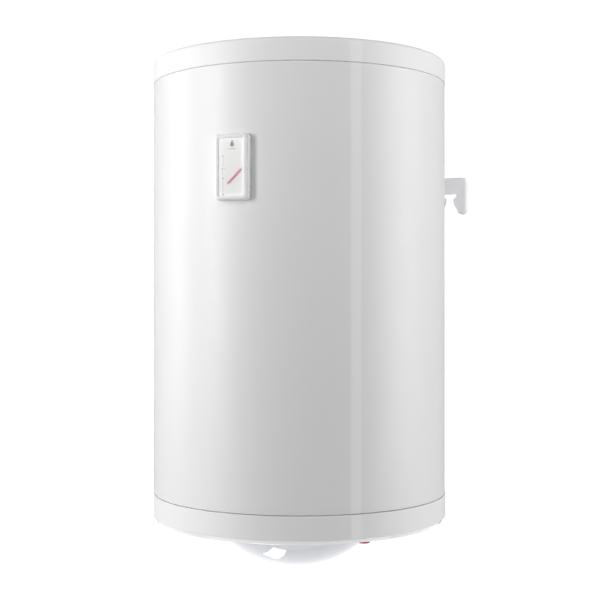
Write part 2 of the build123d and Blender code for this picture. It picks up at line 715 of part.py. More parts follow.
def thermostat_shaft():
    """Shaft that carries the temperature knob."""
    high = THERMOSTAT_LOW + SHAFT_IN_BODY - END_ROOM
    return post(SHAFT_RADIUS, DOME_BOTTOM + SHAFT_ABOVE_BOTTOM, high, y=DOME_Y)


def reset_button():
    """Button of the overheat cut-out, reached with the cover off."""
    low = THERMOSTAT_LOW - RESET_PROUD
    button = post(RESET_RADIUS, low, low + RESET_LENGTH, RESET_SIDE, DOME_Y)
    return fillet(button.edges().group_by(Axis.Z)[0], RESET_ROUND)


def terminal_places():
    """Places of the terminal screws in plan."""
    return [(step * TERMINAL_PITCH, DOME_Y - TERMINAL_FORWARD) for step in (-1, 0, 1)]


def terminal_block():
    """Moulded block with three clamping screws."""
    half_width, half_depth = TERMINAL_WIDTH / 2, TERMINAL_DEPTH / 2
    y = DOME_Y - TERMINAL_FORWARD
    low = PLATE_LOW - TERMINAL_HEIGHT
    body = block((-half_width, half_width), (y - half_depth, y + half_depth), (low, PLATE_LOW))
    for x, screw_y in terminal_places():
        body -= post(TERMINAL_SCREW_RADIUS + FIT, low, low + TERMINAL_SCREW, x, screw_y)
    return body


def terminal_screws():
    """Clamping screws, with their heads sunk below the face of the block."""
    low = PLATE_LOW - TERMINAL_HEIGHT
    return [
        post(TERMINAL_SCREW_RADIUS, low + TERMINAL_SINK, low + TERMINAL_SCREW, x, y)
        for x, y in terminal_places()
    ]


def earth_screw():
    """Screw that clamps the earth wire's lug to the plate."""
    x, y = -EARTH_SIDE, DOME_Y + EARTH_BACK
    seat = PLATE_LOW - EARTH_LUG
    screw = post(EARTH_HEAD_RADIUS, seat - EARTH_HEAD, seat, x, y)
    return screw + post(EARTH_SCREW_RADIUS, seat, PLATE_TOP, x, y)


def earth_wire():
    """Wire from the terminal block to the plate, ending in a lug under the earth screw."""
    x, y = -EARTH_SIDE, DOME_Y + EARTH_BACK
    z = PLATE_LOW - WIRE_RADIUS - 2 * FIT
    start = DOME_Y - TERMINAL_FORWARD
    end = y - EARTH_HEAD_RADIUS - EARTH_TANG
    wire = lead(WIRE_RADIUS, (-TERMINAL_WIDTH / 2, start, z), (x, start, z), (x, end, z))
    lug_low = PLATE_LOW - EARTH_LUG
    tang = block((x - EARTH_TANG, x + EARTH_TANG), (end - EARTH_TANG, y), (lug_low, PLATE_LOW))
    lug = post(EARTH_LUG_RADIUS, lug_low, PLATE_LOW, x, y) + tang
    hole = post(EARTH_SCREW_RADIUS + RUN, lug_low, PLATE_LOW, x, y)
    return wire + lug - hole


def supply_wire(side):
    """Wire from a terminal down and back to the front of the thermostat."""
    x = side * WIRE_SIDE
    start_y = DOME_Y - TERMINAL_FORWARD + TERMINAL_DEPTH / 4
    low = PLATE_LOW - TERMINAL_HEIGHT
    corner = low - WIRE_DROP
    return lead(
        WIRE_RADIUS,
        (x, start_y, low),
        (x, start_y, corner),
        (x, DOME_Y - THERMOSTAT_DEPTH / 2, corner),
    )


def element_wires():
    """Wires from the sides of the thermostat up to the pins of the element."""
    z = THERMOSTAT_TOP - THERMOSTAT_HEIGHT / 2
    wires = []
    for side in (-1, 1):
        start = (side * THERMOSTAT_WIDTH / 2, DOME_Y, z)
        corner = (side * ELEMENT_SPREAD, DOME_Y, z)
        end = (side * ELEMENT_SPREAD, DOME_Y, PLATE_LOW - ELEMENT_PIN)
        wires.append(lead(WIRE_RADIUS, start, corner, end))
    return wires


def lamp_wires():
    """Wires from the back of the thermostat to the pilot lamp."""
    z = THERMOSTAT_TOP - THERMOSTAT_HEIGHT / 2
    wires = []
    for side in (-1, 1):
        x = side * LAMP_WIRE_SIDE
        start = (x, DOME_Y + THERMOSTAT_DEPTH / 2, z)
        wires.append(
            lead(LAMP_WIRE_RADIUS, start, (x, LAMP_Y, z), (x, LAMP_Y, LAMP_SEAT + LAMP_HOLDER))
        )
    return wires


# Flange cover, knob and pilot lamp.
def cover_screw_places():
    """Places of the two cover screws in plan, towards the wall."""
    turns = [math.radians(90 + side * SCREW_TURN) for side in (-1, 1)]
    return [(SCREW_CIRCLE * math.cos(a), DOME_Y + SCREW_CIRCLE * math.sin(a)) for a in turns]


def flange_cover():
    """Spherical cover with a land under the cap's floor, a locating lip and a well for the knob."""
    below = post(DOME_RADIUS, DOME_BOTTOM, FLOOR, y=DOME_Y)
    solid_cap = ball(DOME_RADIUS) & below
    cover = solid_cap - ball(DOME_RADIUS - DOME_WALL)
    lip_outer = COVER_OPENING - COVER_LIP_CLEARANCE
    lip_inner = lip_outer - COVER_LIP_WALL
    land = tube(DOME_RADIUS, lip_inner, FLOOR - DOME_WALL, FLOOR, y=DOME_Y)
    well_outer = KNOB_RADIUS + KNOB_CLEARANCE + KNOB_WELL_WALL
    well = post(well_outer, DOME_BOTTOM, DOME_BOTTOM + KNOB_DEPTH, y=DOME_Y)
    lamp_pad = post(LAMP_FLANGE_RADIUS + LAMP_PAD, DOME_BOTTOM, LAMP_SEAT, y=LAMP_Y)
    cover += (land + well + lamp_pad) & solid_cap
    for x, y in cover_screw_places():
        cover += post(SCREW_BOSS_RADIUS, DOME_BOTTOM, FLOOR, x, y) & solid_cap
    cover += tube(lip_outer, lip_inner, FLOOR, FLOOR + COVER_LIP, y=DOME_Y)
    hook_low = FLOOR + CAP_WALL + FIT
    hook_front = DOME_Y - COVER_OPENING - HOOK_REACH
    cover += block(
        (-HOOK_WIDTH / 2, HOOK_WIDTH / 2),
        (hook_front, DOME_Y - lip_inner - COVER_LIP_WALL / 2),
        (hook_low, hook_low + HOOK_THICKNESS),
    )
    cover -= post(KNOB_RADIUS + KNOB_CLEARANCE, DOME_BOTTOM, DOME_BOTTOM + KNOB_DEPTH, y=DOME_Y)
    for x, y in cover_screw_places():
        seat = FLOOR - SCREW_SEAT
        cover -= post(SCREW_WELL_RADIUS, DOME_BOTTOM, seat, x, y)
        cover -= post(SCREW_RADIUS + FIT, seat, FLOOR, x, y)
    return cover - post(LAMP_RADIUS + FIT, DOME_BOTTOM, LAMP_SEAT, y=LAMP_Y)


def cover_screws():
    """Two pan-head screws up through the cover into bosses of the cap."""
    seat = FLOOR - SCREW_SEAT
    screws = []
    for x, y in cover_screw_places():
        head = post(SCREW_HEAD_RADIUS, seat - SCREW_HEAD, seat, x, y)
        head = fillet(head.edges().group_by(Axis.Z)[0], SCREW_HEAD / 3)
        screws.append(head + post(SCREW_RADIUS, seat, seat + SCREW_LENGTH, x, y))
    return screws


def thermostat_knob():
    """Knob flush with the dome: a cross bar between two shallow finger dishes."""
    face_high = DOME_BOTTOM + KNOB_FACE
    knob = post(KNOB_RADIUS, DOME_BOTTOM, DOME_BOTTOM + KNOB_DEPTH, y=DOME_Y) & ball(DOME_RADIUS)
    knob -= post(KNOB_RADIUS - KNOB_SKIRT, face_high, DOME_BOTTOM + KNOB_DEPTH, y=DOME_Y)
    dish = post(KNOB_DISH_RADIUS, DOME_BOTTOM, DOME_BOTTOM + KNOB_DISH, y=DOME_Y)
    dish -= block(
        (-KNOB_BAR / 2, KNOB_BAR / 2),
        (DOME_Y - KNOB_RADIUS, DOME_Y + KNOB_RADIUS),
        (DOME_BOTTOM, DOME_BOTTOM + KNOB_DISH),
    )
    knob -= dish
    knob += post(KNOB_HUB_RADIUS, face_high, DOME_BOTTOM + KNOB_HUB, y=DOME_Y)
    shaft_low = DOME_BOTTOM + SHAFT_ABOVE_BOTTOM
    return knob - post(SHAFT_RADIUS + RUN / 2, shaft_low, DOME_BOTTOM + KNOB_HUB, y=DOME_Y)


def pilot_lamp_lens():
    """Round lens that looks out through the cover."""
    lens = post(LAMP_RADIUS, LAMP_SKIN - LAMP_PROUD, LAMP_SEAT, y=LAMP_Y)
    lens = fillet(lens.edges().group_by(Axis.Z)[0], LAMP_PROUD)
    return lens + post(LAMP_FLANGE_RADIUS, LAMP_SEAT, LAMP_SEAT + LAMP_FLANGE, y=LAMP_Y)


def pilot_lamp_holder():
    """Lamp body behind the lens."""
    low = LAMP_SEAT + LAMP_FLANGE
    return post(LAMP_HOLDER_RADIUS, low, LAMP_SEAT + LAMP_HOLDER, y=LAMP_Y)


# Cable gland.
def gland_body():
    """Hexagonal gland under the floor with a stem up through it."""
    y = -GLAND_FROM_WALL
    gland = hexagon(GLAND_HEX_FLATS, FLOOR - GLAND_HEX, FLOOR, 0, y)
    gland += post(GLAND_STEM_RADIUS, FLOOR, FLOOR + GLAND_STEM, y=y)
    return gland - post(GLAND_BORE, FLOOR - GLAND_HEX, FLOOR + GLAND_STEM, y=y)


def gland_locknut():
    """Thin nut that holds the gland against the floor from inside."""
    y = -GLAND_FROM_WALL
    low = FLOOR + CAP_WALL
    nut = hexagon(GLAND_NUT_FLATS, low, low + GLAND_NUT, 0, y)
    return nut - post(GLAND_STEM_RADIUS + RUN, low, low + GLAND_NUT, y=y)


# Hanging.
def bracket_outline():
    """Outline of the bracket seen from the front, with its ears' lower corners rounded."""
    half = SLOT_X + BRACKET_OVERHANG
    beam = Pos(0, BEAM_MIDDLE) * Rectangle(2 * half, BRACKET_TOP - BEAM_BOTTOM)
    ear_height = BRACKET_TOP - BRACKET_LEG_BOTTOM
    for side in (-1, 1):
        ear = Rectangle(2 * BRACKET_OVERHANG, ear_height)
        beam += Pos(side * SLOT_X, (BRACKET_TOP + BRACKET_LEG_BOTTOM) / 2) * ear
    corners = beam.vertices().group_by(Axis.Y)
    outline = fillet(corners[-1], BRACKET_CORNER)
    outline = fillet(outline.vertices().group_by(Axis.Y)[0], LEG_RADIUS)
    crooks = [
        v
        for v in outline.vertices()
        if math.isclose(v.Y, BEAM_BOTTOM, abs_tol=0.01) and abs(v.X) < SLOT_X
    ]
    return fillet(crooks, BRACKET_CROOK)


def hanger_slot():
    """Outline of one open slot: a wide head above two barbs, and a mouth between round legs."""
    leg_x = BRACKET_OVERHANG - LEG_RADIUS
    leg_z = BRACKET_LEG_BOTTOM + LEG_RADIUS
    mouth = leg_x - LEG_RADIUS
    right = [
        (SLOT_HEAD_HALF, SLOT_TOP),
        (SLOT_HEAD_HALF, SLOT_HEAD_SIDE),
        (SLOT_BARB_HALF, SLOT_BARB),
        (SLOT_THROAT_HALF, SLOT_THROAT),
        (mouth, leg_z),
        (leg_x, leg_z),
        (leg_x, BRACKET_LEG_BOTTOM),
    ]
    left = [(-x, z) for x, z in reversed(right)]
    slot = make_face(Polyline(*right, *left, close=True))
    for side in (-1, 1):
        slot -= Pos(side * leg_x, leg_z) * Circle(LEG_RADIUS)
    return slot


def wall_bracket():
    """Pressed channel with its web forward, its edges turned back to the wall."""
    outline = bracket_outline()
    shell = plate(outline, 0, BRACKET_FRONT)
    shell = fillet(shell.edges().group_by(Axis.Y)[0], BRACKET_BEND)
    hollow = plate(offset(outline, -BRACKET_SHEET), 0, BRACKET_BACK)
    hollow = fillet(hollow.edges().group_by(Axis.Y)[0], BRACKET_BEND - BRACKET_SHEET)
    bracket = shell - hollow
    for side in (-1, 1):
        bracket -= plate(Pos(side * SLOT_X, 0) * hanger_slot(), 0, BRACKET_FRONT)
        bracket -= bar(BOLT_RADIUS + FIT, BRACKET_FRONT, 0, side * POST_SPREAD, BEAM_MIDDLE)
    return bracket


def hanger_block(side, grow):
    """The space that one hanger post takes, from the tank out to the bracket."""
    half_width, half_height = POST_WIDTH / 2 + grow, POST_HEIGHT / 2 + grow
    x = side * POST_SPREAD
    return block(
        (x - half_width, x + half_width),
        (BODY_Y, BRACKET_FRONT),
        (BEAM_MIDDLE - half_height, BEAM_MIDDLE + half_height),
    ) - tank_form(0)


def hanger_posts():
    """Folded steel boxes welded to the tank, closed at the end that carries the bracket."""
    posts = []
    for side in (-1, 1):
        x = side * POST_SPREAD
        half_width, half_height = POST_WIDTH / 2 - POST_SHEET, POST_HEIGHT / 2 - POST_SHEET
        box = hanger_block(side, 0) - block(
            (x - half_width, x + half_width),
            (BODY_Y, BRACKET_FRONT - POST_SHEET),
            (BEAM_MIDDLE - half_height, BEAM_MIDDLE + half_height),
        )
        posts.append(box - bar(BOLT_RADIUS + FIT, BODY_Y, BRACKET_FRONT, x, BEAM_MIDDLE))
    return posts


def hanger_nuts():
    """Weld nuts inside the posts."""
    high = BRACKET_FRONT - POST_SHEET
    corner = NUT_FLATS / math.sqrt(3)
    nuts = []
    for side in (-1, 1):
        x = side * POST_SPREAD
        hexed = Pos(x, BEAM_MIDDLE) * (RegularPolygon(corner, 6) - Circle(BOLT_RADIUS + RUN))
        nuts.append(plate(hexed, high, high - NUT_HEIGHT))
    return nuts


def bracket_bolts():
    """Low-headed bolts in the channel of the bracket."""
    seat = BRACKET_BACK
    return [
        bar(BOLT_HEAD_RADIUS, seat, seat + BOLT_HEAD, side * POST_SPREAD, BEAM_MIDDLE)
        + bar(BOLT_RADIUS, seat - BOLT_LENGTH, seat, side * POST_SPREAD, BEAM_MIDDLE)
        for side in (-1, 1)
    ]


def lower_spacer():
    """Moulded pad, hollowed to the mantle, with a peg that holds it."""
    half_width, half_height = SPACER_WIDTH / 2, SPACER_HEIGHT / 2
    pad = block(
        (-half_width, half_width),
        (-2 * WALL_GAP, 0),
        (SPACER_Z - half_height, SPACER_Z + half_height),
    )
    pad = fillet(pad.edges().filter_by(Axis.Y), SPACER_CORNER)
    pad -= post(BODY_RADIUS + FIT, SPACER_Z - half_height, SPACER_Z + half_height)
    return pad + bar(SPACER_PEG_RADIUS, -WALL_GAP - SPACER_PEG, -WALL_GAP / 2, 0, SPACER_Z)


# Thermometer.
def peg_places():
    """Places of the frame's two pegs, above and below the dial."""
    rise = (THERMO_HEIGHT - THERMO_BORDER + THERMO_REBATE) / 2
    return [(0, THERMO_Z + rise), (0, THERMO_Z - rise)]


def panel(inset, corner):
    """Rounded upright rectangle about the thermometer's centre."""
    width, height = THERMO_WIDTH - 2 * inset, THERMO_HEIGHT - 2 * inset
    return Pos(0, THERMO_Z) * RectangleRounded(width, height, corner)


def thermometer_frame():
    """Raised frame whose back follows the mantle, rebated from behind for the dial."""
    frame = plate(panel(0, THERMO_CORNER), BODY_Y - BODY_RADIUS + 2 * THERMO_EDGE, THERMO_FACE)
    frame = fillet(frame.edges().group_by(Axis.Y)[0], THERMO_EDGE)
    frame -= post(BODY_RADIUS + FIT, THERMO_Z - THERMO_HEIGHT, THERMO_Z + THERMO_HEIGHT)
    frame -= plate(panel(THERMO_BORDER, THERMO_EDGE), DIAL_FACE, THERMO_FACE)
    frame -= plate(panel(THERMO_BORDER - THERMO_REBATE, THERMO_EDGE), BODY_Y, DIAL_FACE)
    frame -= bar(PIVOT_RELIEF, DIAL_FACE - PIVOT_HEADROOM, DIAL_FACE, PIVOT_SIDE, PIVOT_Z)
    frame -= bar(CUP_RADIUS + FIT, BODY_Y, DIAL_FACE, PIVOT_SIDE, PIVOT_Z)
    for x, z in peg_places():
        frame += bar(PEG_RADIUS, BODY_Y - BODY_RADIUS + PEG_LENGTH, DIAL_FACE, x, z)
    return frame


def thermometer_dial():
    """Flat dial behind the frame's border, bored for the spindle."""
    dial = plate(panel(THERMO_BORDER - THERMO_REBATE + FIT, THERMO_EDGE), DIAL_BACK, DIAL_FACE)
    return dial - bar(SPINDLE_RADIUS + RUN, DIAL_BACK, DIAL_FACE, PIVOT_SIDE, PIVOT_Z)


def thermometer_needle():
    """Flat tapered needle on a round hub."""
    long, root, tip = NEEDLE_LENGTH, NEEDLE_WIDTH / 2, NEEDLE_TIP / 2
    blade = make_face(Polyline((0, root), (-long, tip), (-long, -tip), (0, -root), close=True))
    needle = Rot(0, 0, NEEDLE_FALL) * (blade + Circle(NEEDLE_HUB) - Circle(SPINDLE_RADIUS))
    return plate(Pos(PIVOT_SIDE, PIVOT_Z) * needle, NEEDLE_BACK, NEEDLE_BACK - NEEDLE_THICKNESS)


def needle_spindle():
    """Spindle that turns with the needle, headed in front of it."""
    front = NEEDLE_BACK - NEEDLE_THICKNESS
    spindle = bar(SPINDLE_RADIUS, front, front + SPINDLE_LENGTH, PIVOT_SIDE, PIVOT_Z)
    return spindle + bar(SPINDLE_HEAD_RADIUS, front - SPINDLE_HEAD, front, PIVOT_SIDE, PIVOT_Z)


def sensor_cup():
    """Thin metal cup from behind the dial to the tank, which carries the tank's warmth."""
    bottom = BODY_Y - TANK_RADIUS - FIT
    cup = bar(CUP_RADIUS, bottom, DIAL_BACK, PIVOT_SIDE, PIVOT_Z)
    return cup - bar(CUP_RADIUS - CUP_WALL, bottom - CUP_WALL, DIAL_BACK, PIVOT_SIDE, PIVOT_Z)


def bimetal_spiral():
    """Flat coil of strip in the cup, made of half circles that grow."""
    strip = Sketch()
    for half in range(2 * SPIRAL_TURNS):
        radius = SPIRAL_FIRST + half * SPIRAL_STEP
        side = 1 if half % 2 else -1
        centre = side * SPIRAL_STEP / 2
        ring = Circle(radius + SPIRAL_STRIP / 2) - Circle(radius - SPIRAL_STRIP / 2)
        window = Pos(0, side * radius) * Rectangle(4 * radius, 2 * radius)
        strip += Pos(centre, 0) * (ring & window)
    back = DIAL_BACK + SPIRAL_BELOW_DIAL
    return plate(Pos(PIVOT_SIDE, PIVOT_Z) * strip, back, back - SPIRAL_WIDTH)


PIECES = {
    "mantle": mantle(),
    "top_cap": top_cap(),
    "bottom_cap": bottom_cap(),
    "insulation_foam": insulation_foam(),
    "tank_shell": tank_shell(),
    "tank_top_end": tank_top_end(),
    "tank_bottom_end": tank_bottom_end(),
    "hot_outlet_pipe": water_pipe(PIPE_SPREAD, hot_top()),
    "cold_inlet_pipe": water_pipe(-PIPE_SPREAD, cold_top()),
    "inlet_diffuser": inlet_diffuser(),
    "hot_marker_ring": marker_ring(PIPE_SPREAD),
    "cold_marker_ring": marker_ring(-PIPE_SPREAD),
    "hot_pipe_plug": pipe_plug(PIPE_SPREAD),
    "cold_pipe_plug": pipe_plug(-PIPE_SPREAD),
    "flange_neck": flange_neck(),
    "flange_studs": flange_studs(),
    "flange_gasket": flange_gasket(),
    "flange_plate": flange_plate(),
    "flange_nuts": [plate_nut(x, y) for x, y in stud_places()],
    "heating_element": heating_element(),
    "anode_rod": anode_rod(),
    "anode_washer": anode_washer(),
    "anode_nut": plate_nut(0, DOME_Y + ANODE_BACK),
    "thermostat_sheath": thermostat_sheath(),
    "thermostat_probe": thermostat_probe(),
    "thermostat_body": thermostat_body(),
    "thermostat_shaft": thermostat_shaft(),
    "thermostat_knob": thermostat_knob(),
    "reset_button": reset_button(),
    "terminal_block": terminal_block(),
    "terminal_screws": terminal_screws(),
    "earth_screw": earth_screw(),
    "earth_wire": earth_wire(),
    "live_wire": supply_wire(-1),
    "neutral_wire": supply_wire(1),
    "element_wires": element_wires(),
    "lamp_wires": lamp_wires(),
    "flange_cover": flange_cover(),
    "cover_screws": cover_screws(),
    "pilot_lamp_lens": pilot_lamp_lens(),
    "pilot_lamp_holder": pilot_lamp_holder(),
    "gland_body": gland_body(),
    "gland_locknut": gland_locknut(),
    "wall_bracket": wall_bracket(),
    "hanger_posts": hanger_posts(),
    "hanger_nuts": hanger_nuts(),
    "bracket_bolts": bracket_bolts(),
    "lower_spacer": lower_spacer(),
    "thermometer_frame": thermometer_frame(),
    "thermometer_dial": thermometer_dial(),
    "thermometer_needle": thermometer_needle(),
    "needle_spindle": needle_spindle(),
    "sensor_cup": sensor_cup(),
    "bimetal_spiral": bimetal_spiral(),
}

os.makedirs("parts", exist_ok=True)
for node, shape in PIECES.items():
    solids = shape if isinstance(shape, list) else [shape]
    solids = [solid for item in solids for solid in item.solids()]
    export_step(Compound(solids) if len(solids) > 1 else solids[0], f"parts/{node}.step")
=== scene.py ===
"""Wall-hung electric storage water heater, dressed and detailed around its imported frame."""

import logging
import math
from collections.abc import Callable, Iterable, Sequence
from dataclasses import dataclass, field
from enum import Enum
from typing import ClassVar

import bmesh
import bpy
from mathutils import Euler, Matrix, Vector


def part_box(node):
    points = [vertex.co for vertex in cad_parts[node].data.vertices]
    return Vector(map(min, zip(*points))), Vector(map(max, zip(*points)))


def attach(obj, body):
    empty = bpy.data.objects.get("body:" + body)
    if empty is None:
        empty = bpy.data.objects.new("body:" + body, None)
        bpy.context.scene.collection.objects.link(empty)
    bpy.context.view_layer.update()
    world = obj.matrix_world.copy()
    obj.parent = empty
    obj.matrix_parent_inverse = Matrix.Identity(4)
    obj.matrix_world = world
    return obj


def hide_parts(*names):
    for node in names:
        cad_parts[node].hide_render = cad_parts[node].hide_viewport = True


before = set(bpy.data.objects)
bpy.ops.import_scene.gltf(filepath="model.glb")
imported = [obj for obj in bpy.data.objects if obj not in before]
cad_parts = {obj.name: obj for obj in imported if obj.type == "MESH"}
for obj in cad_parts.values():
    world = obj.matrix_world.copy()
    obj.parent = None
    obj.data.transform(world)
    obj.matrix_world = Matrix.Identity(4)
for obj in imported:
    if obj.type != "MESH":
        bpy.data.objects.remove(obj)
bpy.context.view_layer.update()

LOG = logging.getLogger("water_heater")
MM = 0.001
MERGE = 0.01 * MM
HAIR = 0.1 * MM
UP, BACKWARDS = Vector((0.0, 0.0, 1.0)), Vector((0.0, 1.0, 0.0))
FACING_FRONT = (math.pi / 2, 0.0, 0.0)
WHITE = (1.0, 1.0, 1.0, 1.0)
CLOUD_SCALE, CLOUD_DETAIL = 9.0, 6.0
HAZE_SCALE, HAZE_DETAIL = 40.0, 4.0
NOISE_LOW, NOISE_HIGH = 0.3, 0.7
PEEL_DETAIL, GRAIN_DETAIL = 1.0, 5.0
POLISH_SOFTNESS, GRAIN_SOFTNESS = 0.35, 0.6
BUMP_STRENGTH = 0.6
SCATTER = (1.0, 0.9, 0.8)
Colour = tuple[float, float, float]
Outline = Sequence[tuple[float, float]]
Drill = tuple[Vector, float, float, Vector]


class Relief(Enum):
    """The fine relief that a finish leaves on a surface."""

    PEEL = "orange peel of stoved enamel"
    GRAIN = "even grain of an etched mould"
    POLISH = "polished mould with faint flow"
    SPANGLE = "crystal pattern of a zinc bath"
    DRAWN = "long marks of drawing or rolling"
    CELLS = "open cells of cut foam"


@dataclass(frozen=True)
class Finish:
    """One surface finish: its colour, its gloss and its relief.

    Attributes:
        name: The record's material slot that it belongs to.
        colour: Linear base colour.
        roughness: Middle value of the roughness.
        relief: The kind of fine relief.
        pitch: Size of one feature of the relief, in metres.
        depth: Height of the relief, in metres.
        metallic: One for bare metal, otherwise nought.
        drift: How far the tone wanders over the piece.
        gloss_drift: How far the roughness wanders.
        specular: Strength of the dielectric reflection.
        coat: Strength of a clear gloss layer.
        coat_roughness: Roughness of that layer.
        bleed: Share of light that scatters under the surface.
        bleed_depth: How far it travels there, in metres.
        stretch: Relief length along each axis, compared with the others.
        tag: Tells two finishes of one slot apart.
    """

    name: str
    colour: Colour
    roughness: float
    relief: Relief = Relief.GRAIN
    pitch: float = 0.6 * MM
    depth: float = 0.01 * MM
    metallic: float = 0.0
    drift: float = 0.015
    gloss_drift: float = 0.05
    specular: float = 0.5
    coat: float = 0.0
    coat_roughness: float = 0.05
    bleed: float = 0.0
    bleed_depth: float = 2 * MM
    stretch: tuple[float, float, float] = (1.0, 1.0, 1.0)
    tag: str = "finish"

    def material(self) -> bpy.types.Material:
        """Makes the node material, or returns the one already made.

        Returns:
            The material, with tone, gloss and relief driven by object coordinates.
        """
        label = f"{self.name}_{self.tag}"
        known = bpy.data.materials.get(label)
        if known is not None:
            return known
        material = bpy.data.materials.new(label)
        material.use_nodes = True
        tree = material.node_tree
        shader = tree.nodes["Principled BSDF"]
        shader.inputs["Metallic"].default_value = self.metallic
        shader.inputs["Specular IOR Level"].default_value = self.specular
        shader.inputs["Coat Weight"].default_value = self.coat
        shader.inputs["Coat Roughness"].default_value = self.coat_roughness
        if self.bleed:
            shader.inputs["Subsurface Weight"].default_value = self.bleed
            shader.inputs["Subsurface Scale"].default_value = self.bleed_depth
            shader.inputs["Subsurface Radius"].default_value = SCATTER
        place = tree.nodes.new("ShaderNodeTexCoord")
        turn = tree.nodes.new("ShaderNodeMapping")
        turn.inputs["Scale"].default_value = self.stretch
        tree.links.new(place.outputs["Object"], turn.inputs["Vector"])
        tree.links.new(self._tone(tree, place), shader.inputs["Base Color"])
        tree.links.new(self._gloss(tree, turn), shader.inputs["Roughness"])
        bump = tree.nodes.new("ShaderNodeBump")
        bump.inputs["Strength"].default_value = BUMP_STRENGTH
        bump.inputs["Distance"].default_value = self.depth
        tree.links.new(self._height(tree, turn), bump.inputs["Height"])
        tree.links.new(bump.outputs["Normal"], shader.inputs["Normal"])
        return material

    def _tone(self, tree: bpy.types.NodeTree, place: bpy.types.Node) -> bpy.types.NodeSocket:
        """Adds the nodes that let the colour wander.

        Args:
            tree: The material's nodes.
            place: The texture coordinates.

        Returns:
            The colour socket.
        """
        cloud = tree.nodes.new("ShaderNodeTexNoise")
        cloud.inputs["Scale"].default_value = CLOUD_SCALE
        cloud.inputs["Detail"].default_value = CLOUD_DETAIL
        tree.links.new(place.outputs["Object"], cloud.inputs["Vector"])
        ramp = tree.nodes.new("ShaderNodeValToRGB")
        low = [max(0.0, c * (1 - self.drift)) for c in self.colour]
        high = [min(1.0, c * (1 + self.drift)) for c in self.colour]
        ramp.color_ramp.elements[0].position = NOISE_LOW
        ramp.color_ramp.elements[0].color = (*low, 1.0)
        ramp.color_ramp.elements[1].position = NOISE_HIGH
        ramp.color_ramp.elements[1].color = (*high, 1.0)
        tree.links.new(cloud.outputs["Fac"], ramp.inputs["Fac"])
        return ramp.outputs["Color"]

    def _gloss(self, tree: bpy.types.NodeTree, turn: bpy.types.Node) -> bpy.types.NodeSocket:
        """Adds the nodes that let the roughness wander.

        Args:
            tree: The material's nodes.
            turn: The stretched coordinates.

        Returns:
            The roughness socket.
        """
        haze = tree.nodes.new("ShaderNodeTexNoise")
        haze.inputs["Scale"].default_value = HAZE_SCALE
        haze.inputs["Detail"].default_value = HAZE_DETAIL
        tree.links.new(turn.outputs["Vector"], haze.inputs["Vector"])
        span = tree.nodes.new("ShaderNodeMapRange")
        span.inputs["From Min"].default_value = NOISE_LOW
        span.inputs["From Max"].default_value = NOISE_HIGH
        span.inputs["To Min"].default_value = max(0.0, self.roughness - self.gloss_drift)
        span.inputs["To Max"].default_value = min(1.0, self.roughness + self.gloss_drift)
        tree.links.new(haze.outputs["Fac"], span.inputs["Value"])
        return span.outputs["Result"]

    def _height(self, tree: bpy.types.NodeTree, turn: bpy.types.Node) -> bpy.types.NodeSocket:
        """Adds the nodes of the fine relief.

        Args:
            tree: The material's nodes.
            turn: The stretched coordinates.

        Returns:
            The height socket.
        """
        if self.relief in (Relief.SPANGLE, Relief.CELLS):
            cells = tree.nodes.new("ShaderNodeTexVoronoi")
            cells.inputs["Scale"].default_value = 1 / self.pitch
            tree.links.new(turn.outputs["Vector"], cells.inputs["Vector"])
            return cells.outputs["Distance"]
        grain = tree.nodes.new("ShaderNodeTexNoise")
        grain.inputs["Scale"].default_value = 1 / self.pitch
        detail = PEEL_DETAIL if self.relief is Relief.PEEL else GRAIN_DETAIL
        softness = POLISH_SOFTNESS if self.relief is Relief.POLISH else GRAIN_SOFTNESS
        grain.inputs["Detail"].default_value = detail
        grain.inputs["Roughness"].default_value = softness
        tree.links.new(turn.outputs["Vector"], grain.inputs["Vector"])
        return grain.outputs["Fac"]


ENAMEL = Finish("mantle_enamel", (0.842, 0.84, 0.842), 0.38, Relief.PEEL, 2.2 * MM, 0.012 * MM,
                drift=0.006, specular=0.3)
CAP_PLASTIC = Finish("cap_plastic", (0.872, 0.868, 0.87), 0.52, Relief.GRAIN, 0.35 * MM, 0.012 * MM,
                     drift=0.006, specular=0.3)
COVER_PLASTIC = Finish("cover_plastic", (0.77, 0.78, 0.825), 0.06, Relief.POLISH, 6 * MM, 0.01 * MM,
                       drift=0.006, gloss_drift=0.02)
TRIM_PLASTIC = Finish("trim_plastic", (0.81, 0.81, 0.805), 0.3, Relief.GRAIN, 0.3 * MM, 0.006 * MM,
                      bleed=1.0, bleed_depth=9 * MM)
DIAL_CARD = Finish("dial_card", (0.87, 0.87, 0.86), 0.55, Relief.GRAIN, 0.25 * MM, 0.008 * MM)
NEEDLE_RED = Finish("needle_red", (0.90, 0.30, 0.42), 0.35, Relief.POLISH, 1 * MM, 0.004 * MM)
FOAM = Finish("foam", (0.82, 0.70, 0.40), 0.9, Relief.CELLS, 1.6 * MM, 0.4 * MM, drift=0.08)
TANK_STEEL = Finish("tank_steel", (0.03, 0.06, 0.14), 0.25, Relief.PEEL, 3 * MM, 0.05 * MM,
                    coat=0.6, drift=0.1)
ZINC = Finish("zinc_steel", (0.66, 0.67, 0.68), 0.36, Relief.SPANGLE, 3 * MM, 0.02 * MM,
              metallic=1.0, drift=0.06)
COPPER = Finish("copper_alloy", (0.72, 0.42, 0.24), 0.28, Relief.DRAWN, 0.5 * MM, 0.01 * MM,
                metallic=1.0, drift=0.08, stretch=(1.0, 1.0, 0.08))
ALUMINIUM = Finish("sensor_aluminium", (0.75, 0.76, 0.77), 0.3, Relief.DRAWN, 0.4 * MM, 0.01 * MM,
                   metallic=1.0, stretch=(1.0, 0.06, 1.0))
MAGNESIUM = Finish("magnesium", (0.5, 0.5, 0.48), 0.6, Relief.GRAIN, 1.2 * MM, 0.08 * MM,
                   metallic=1.0, drift=0.12)
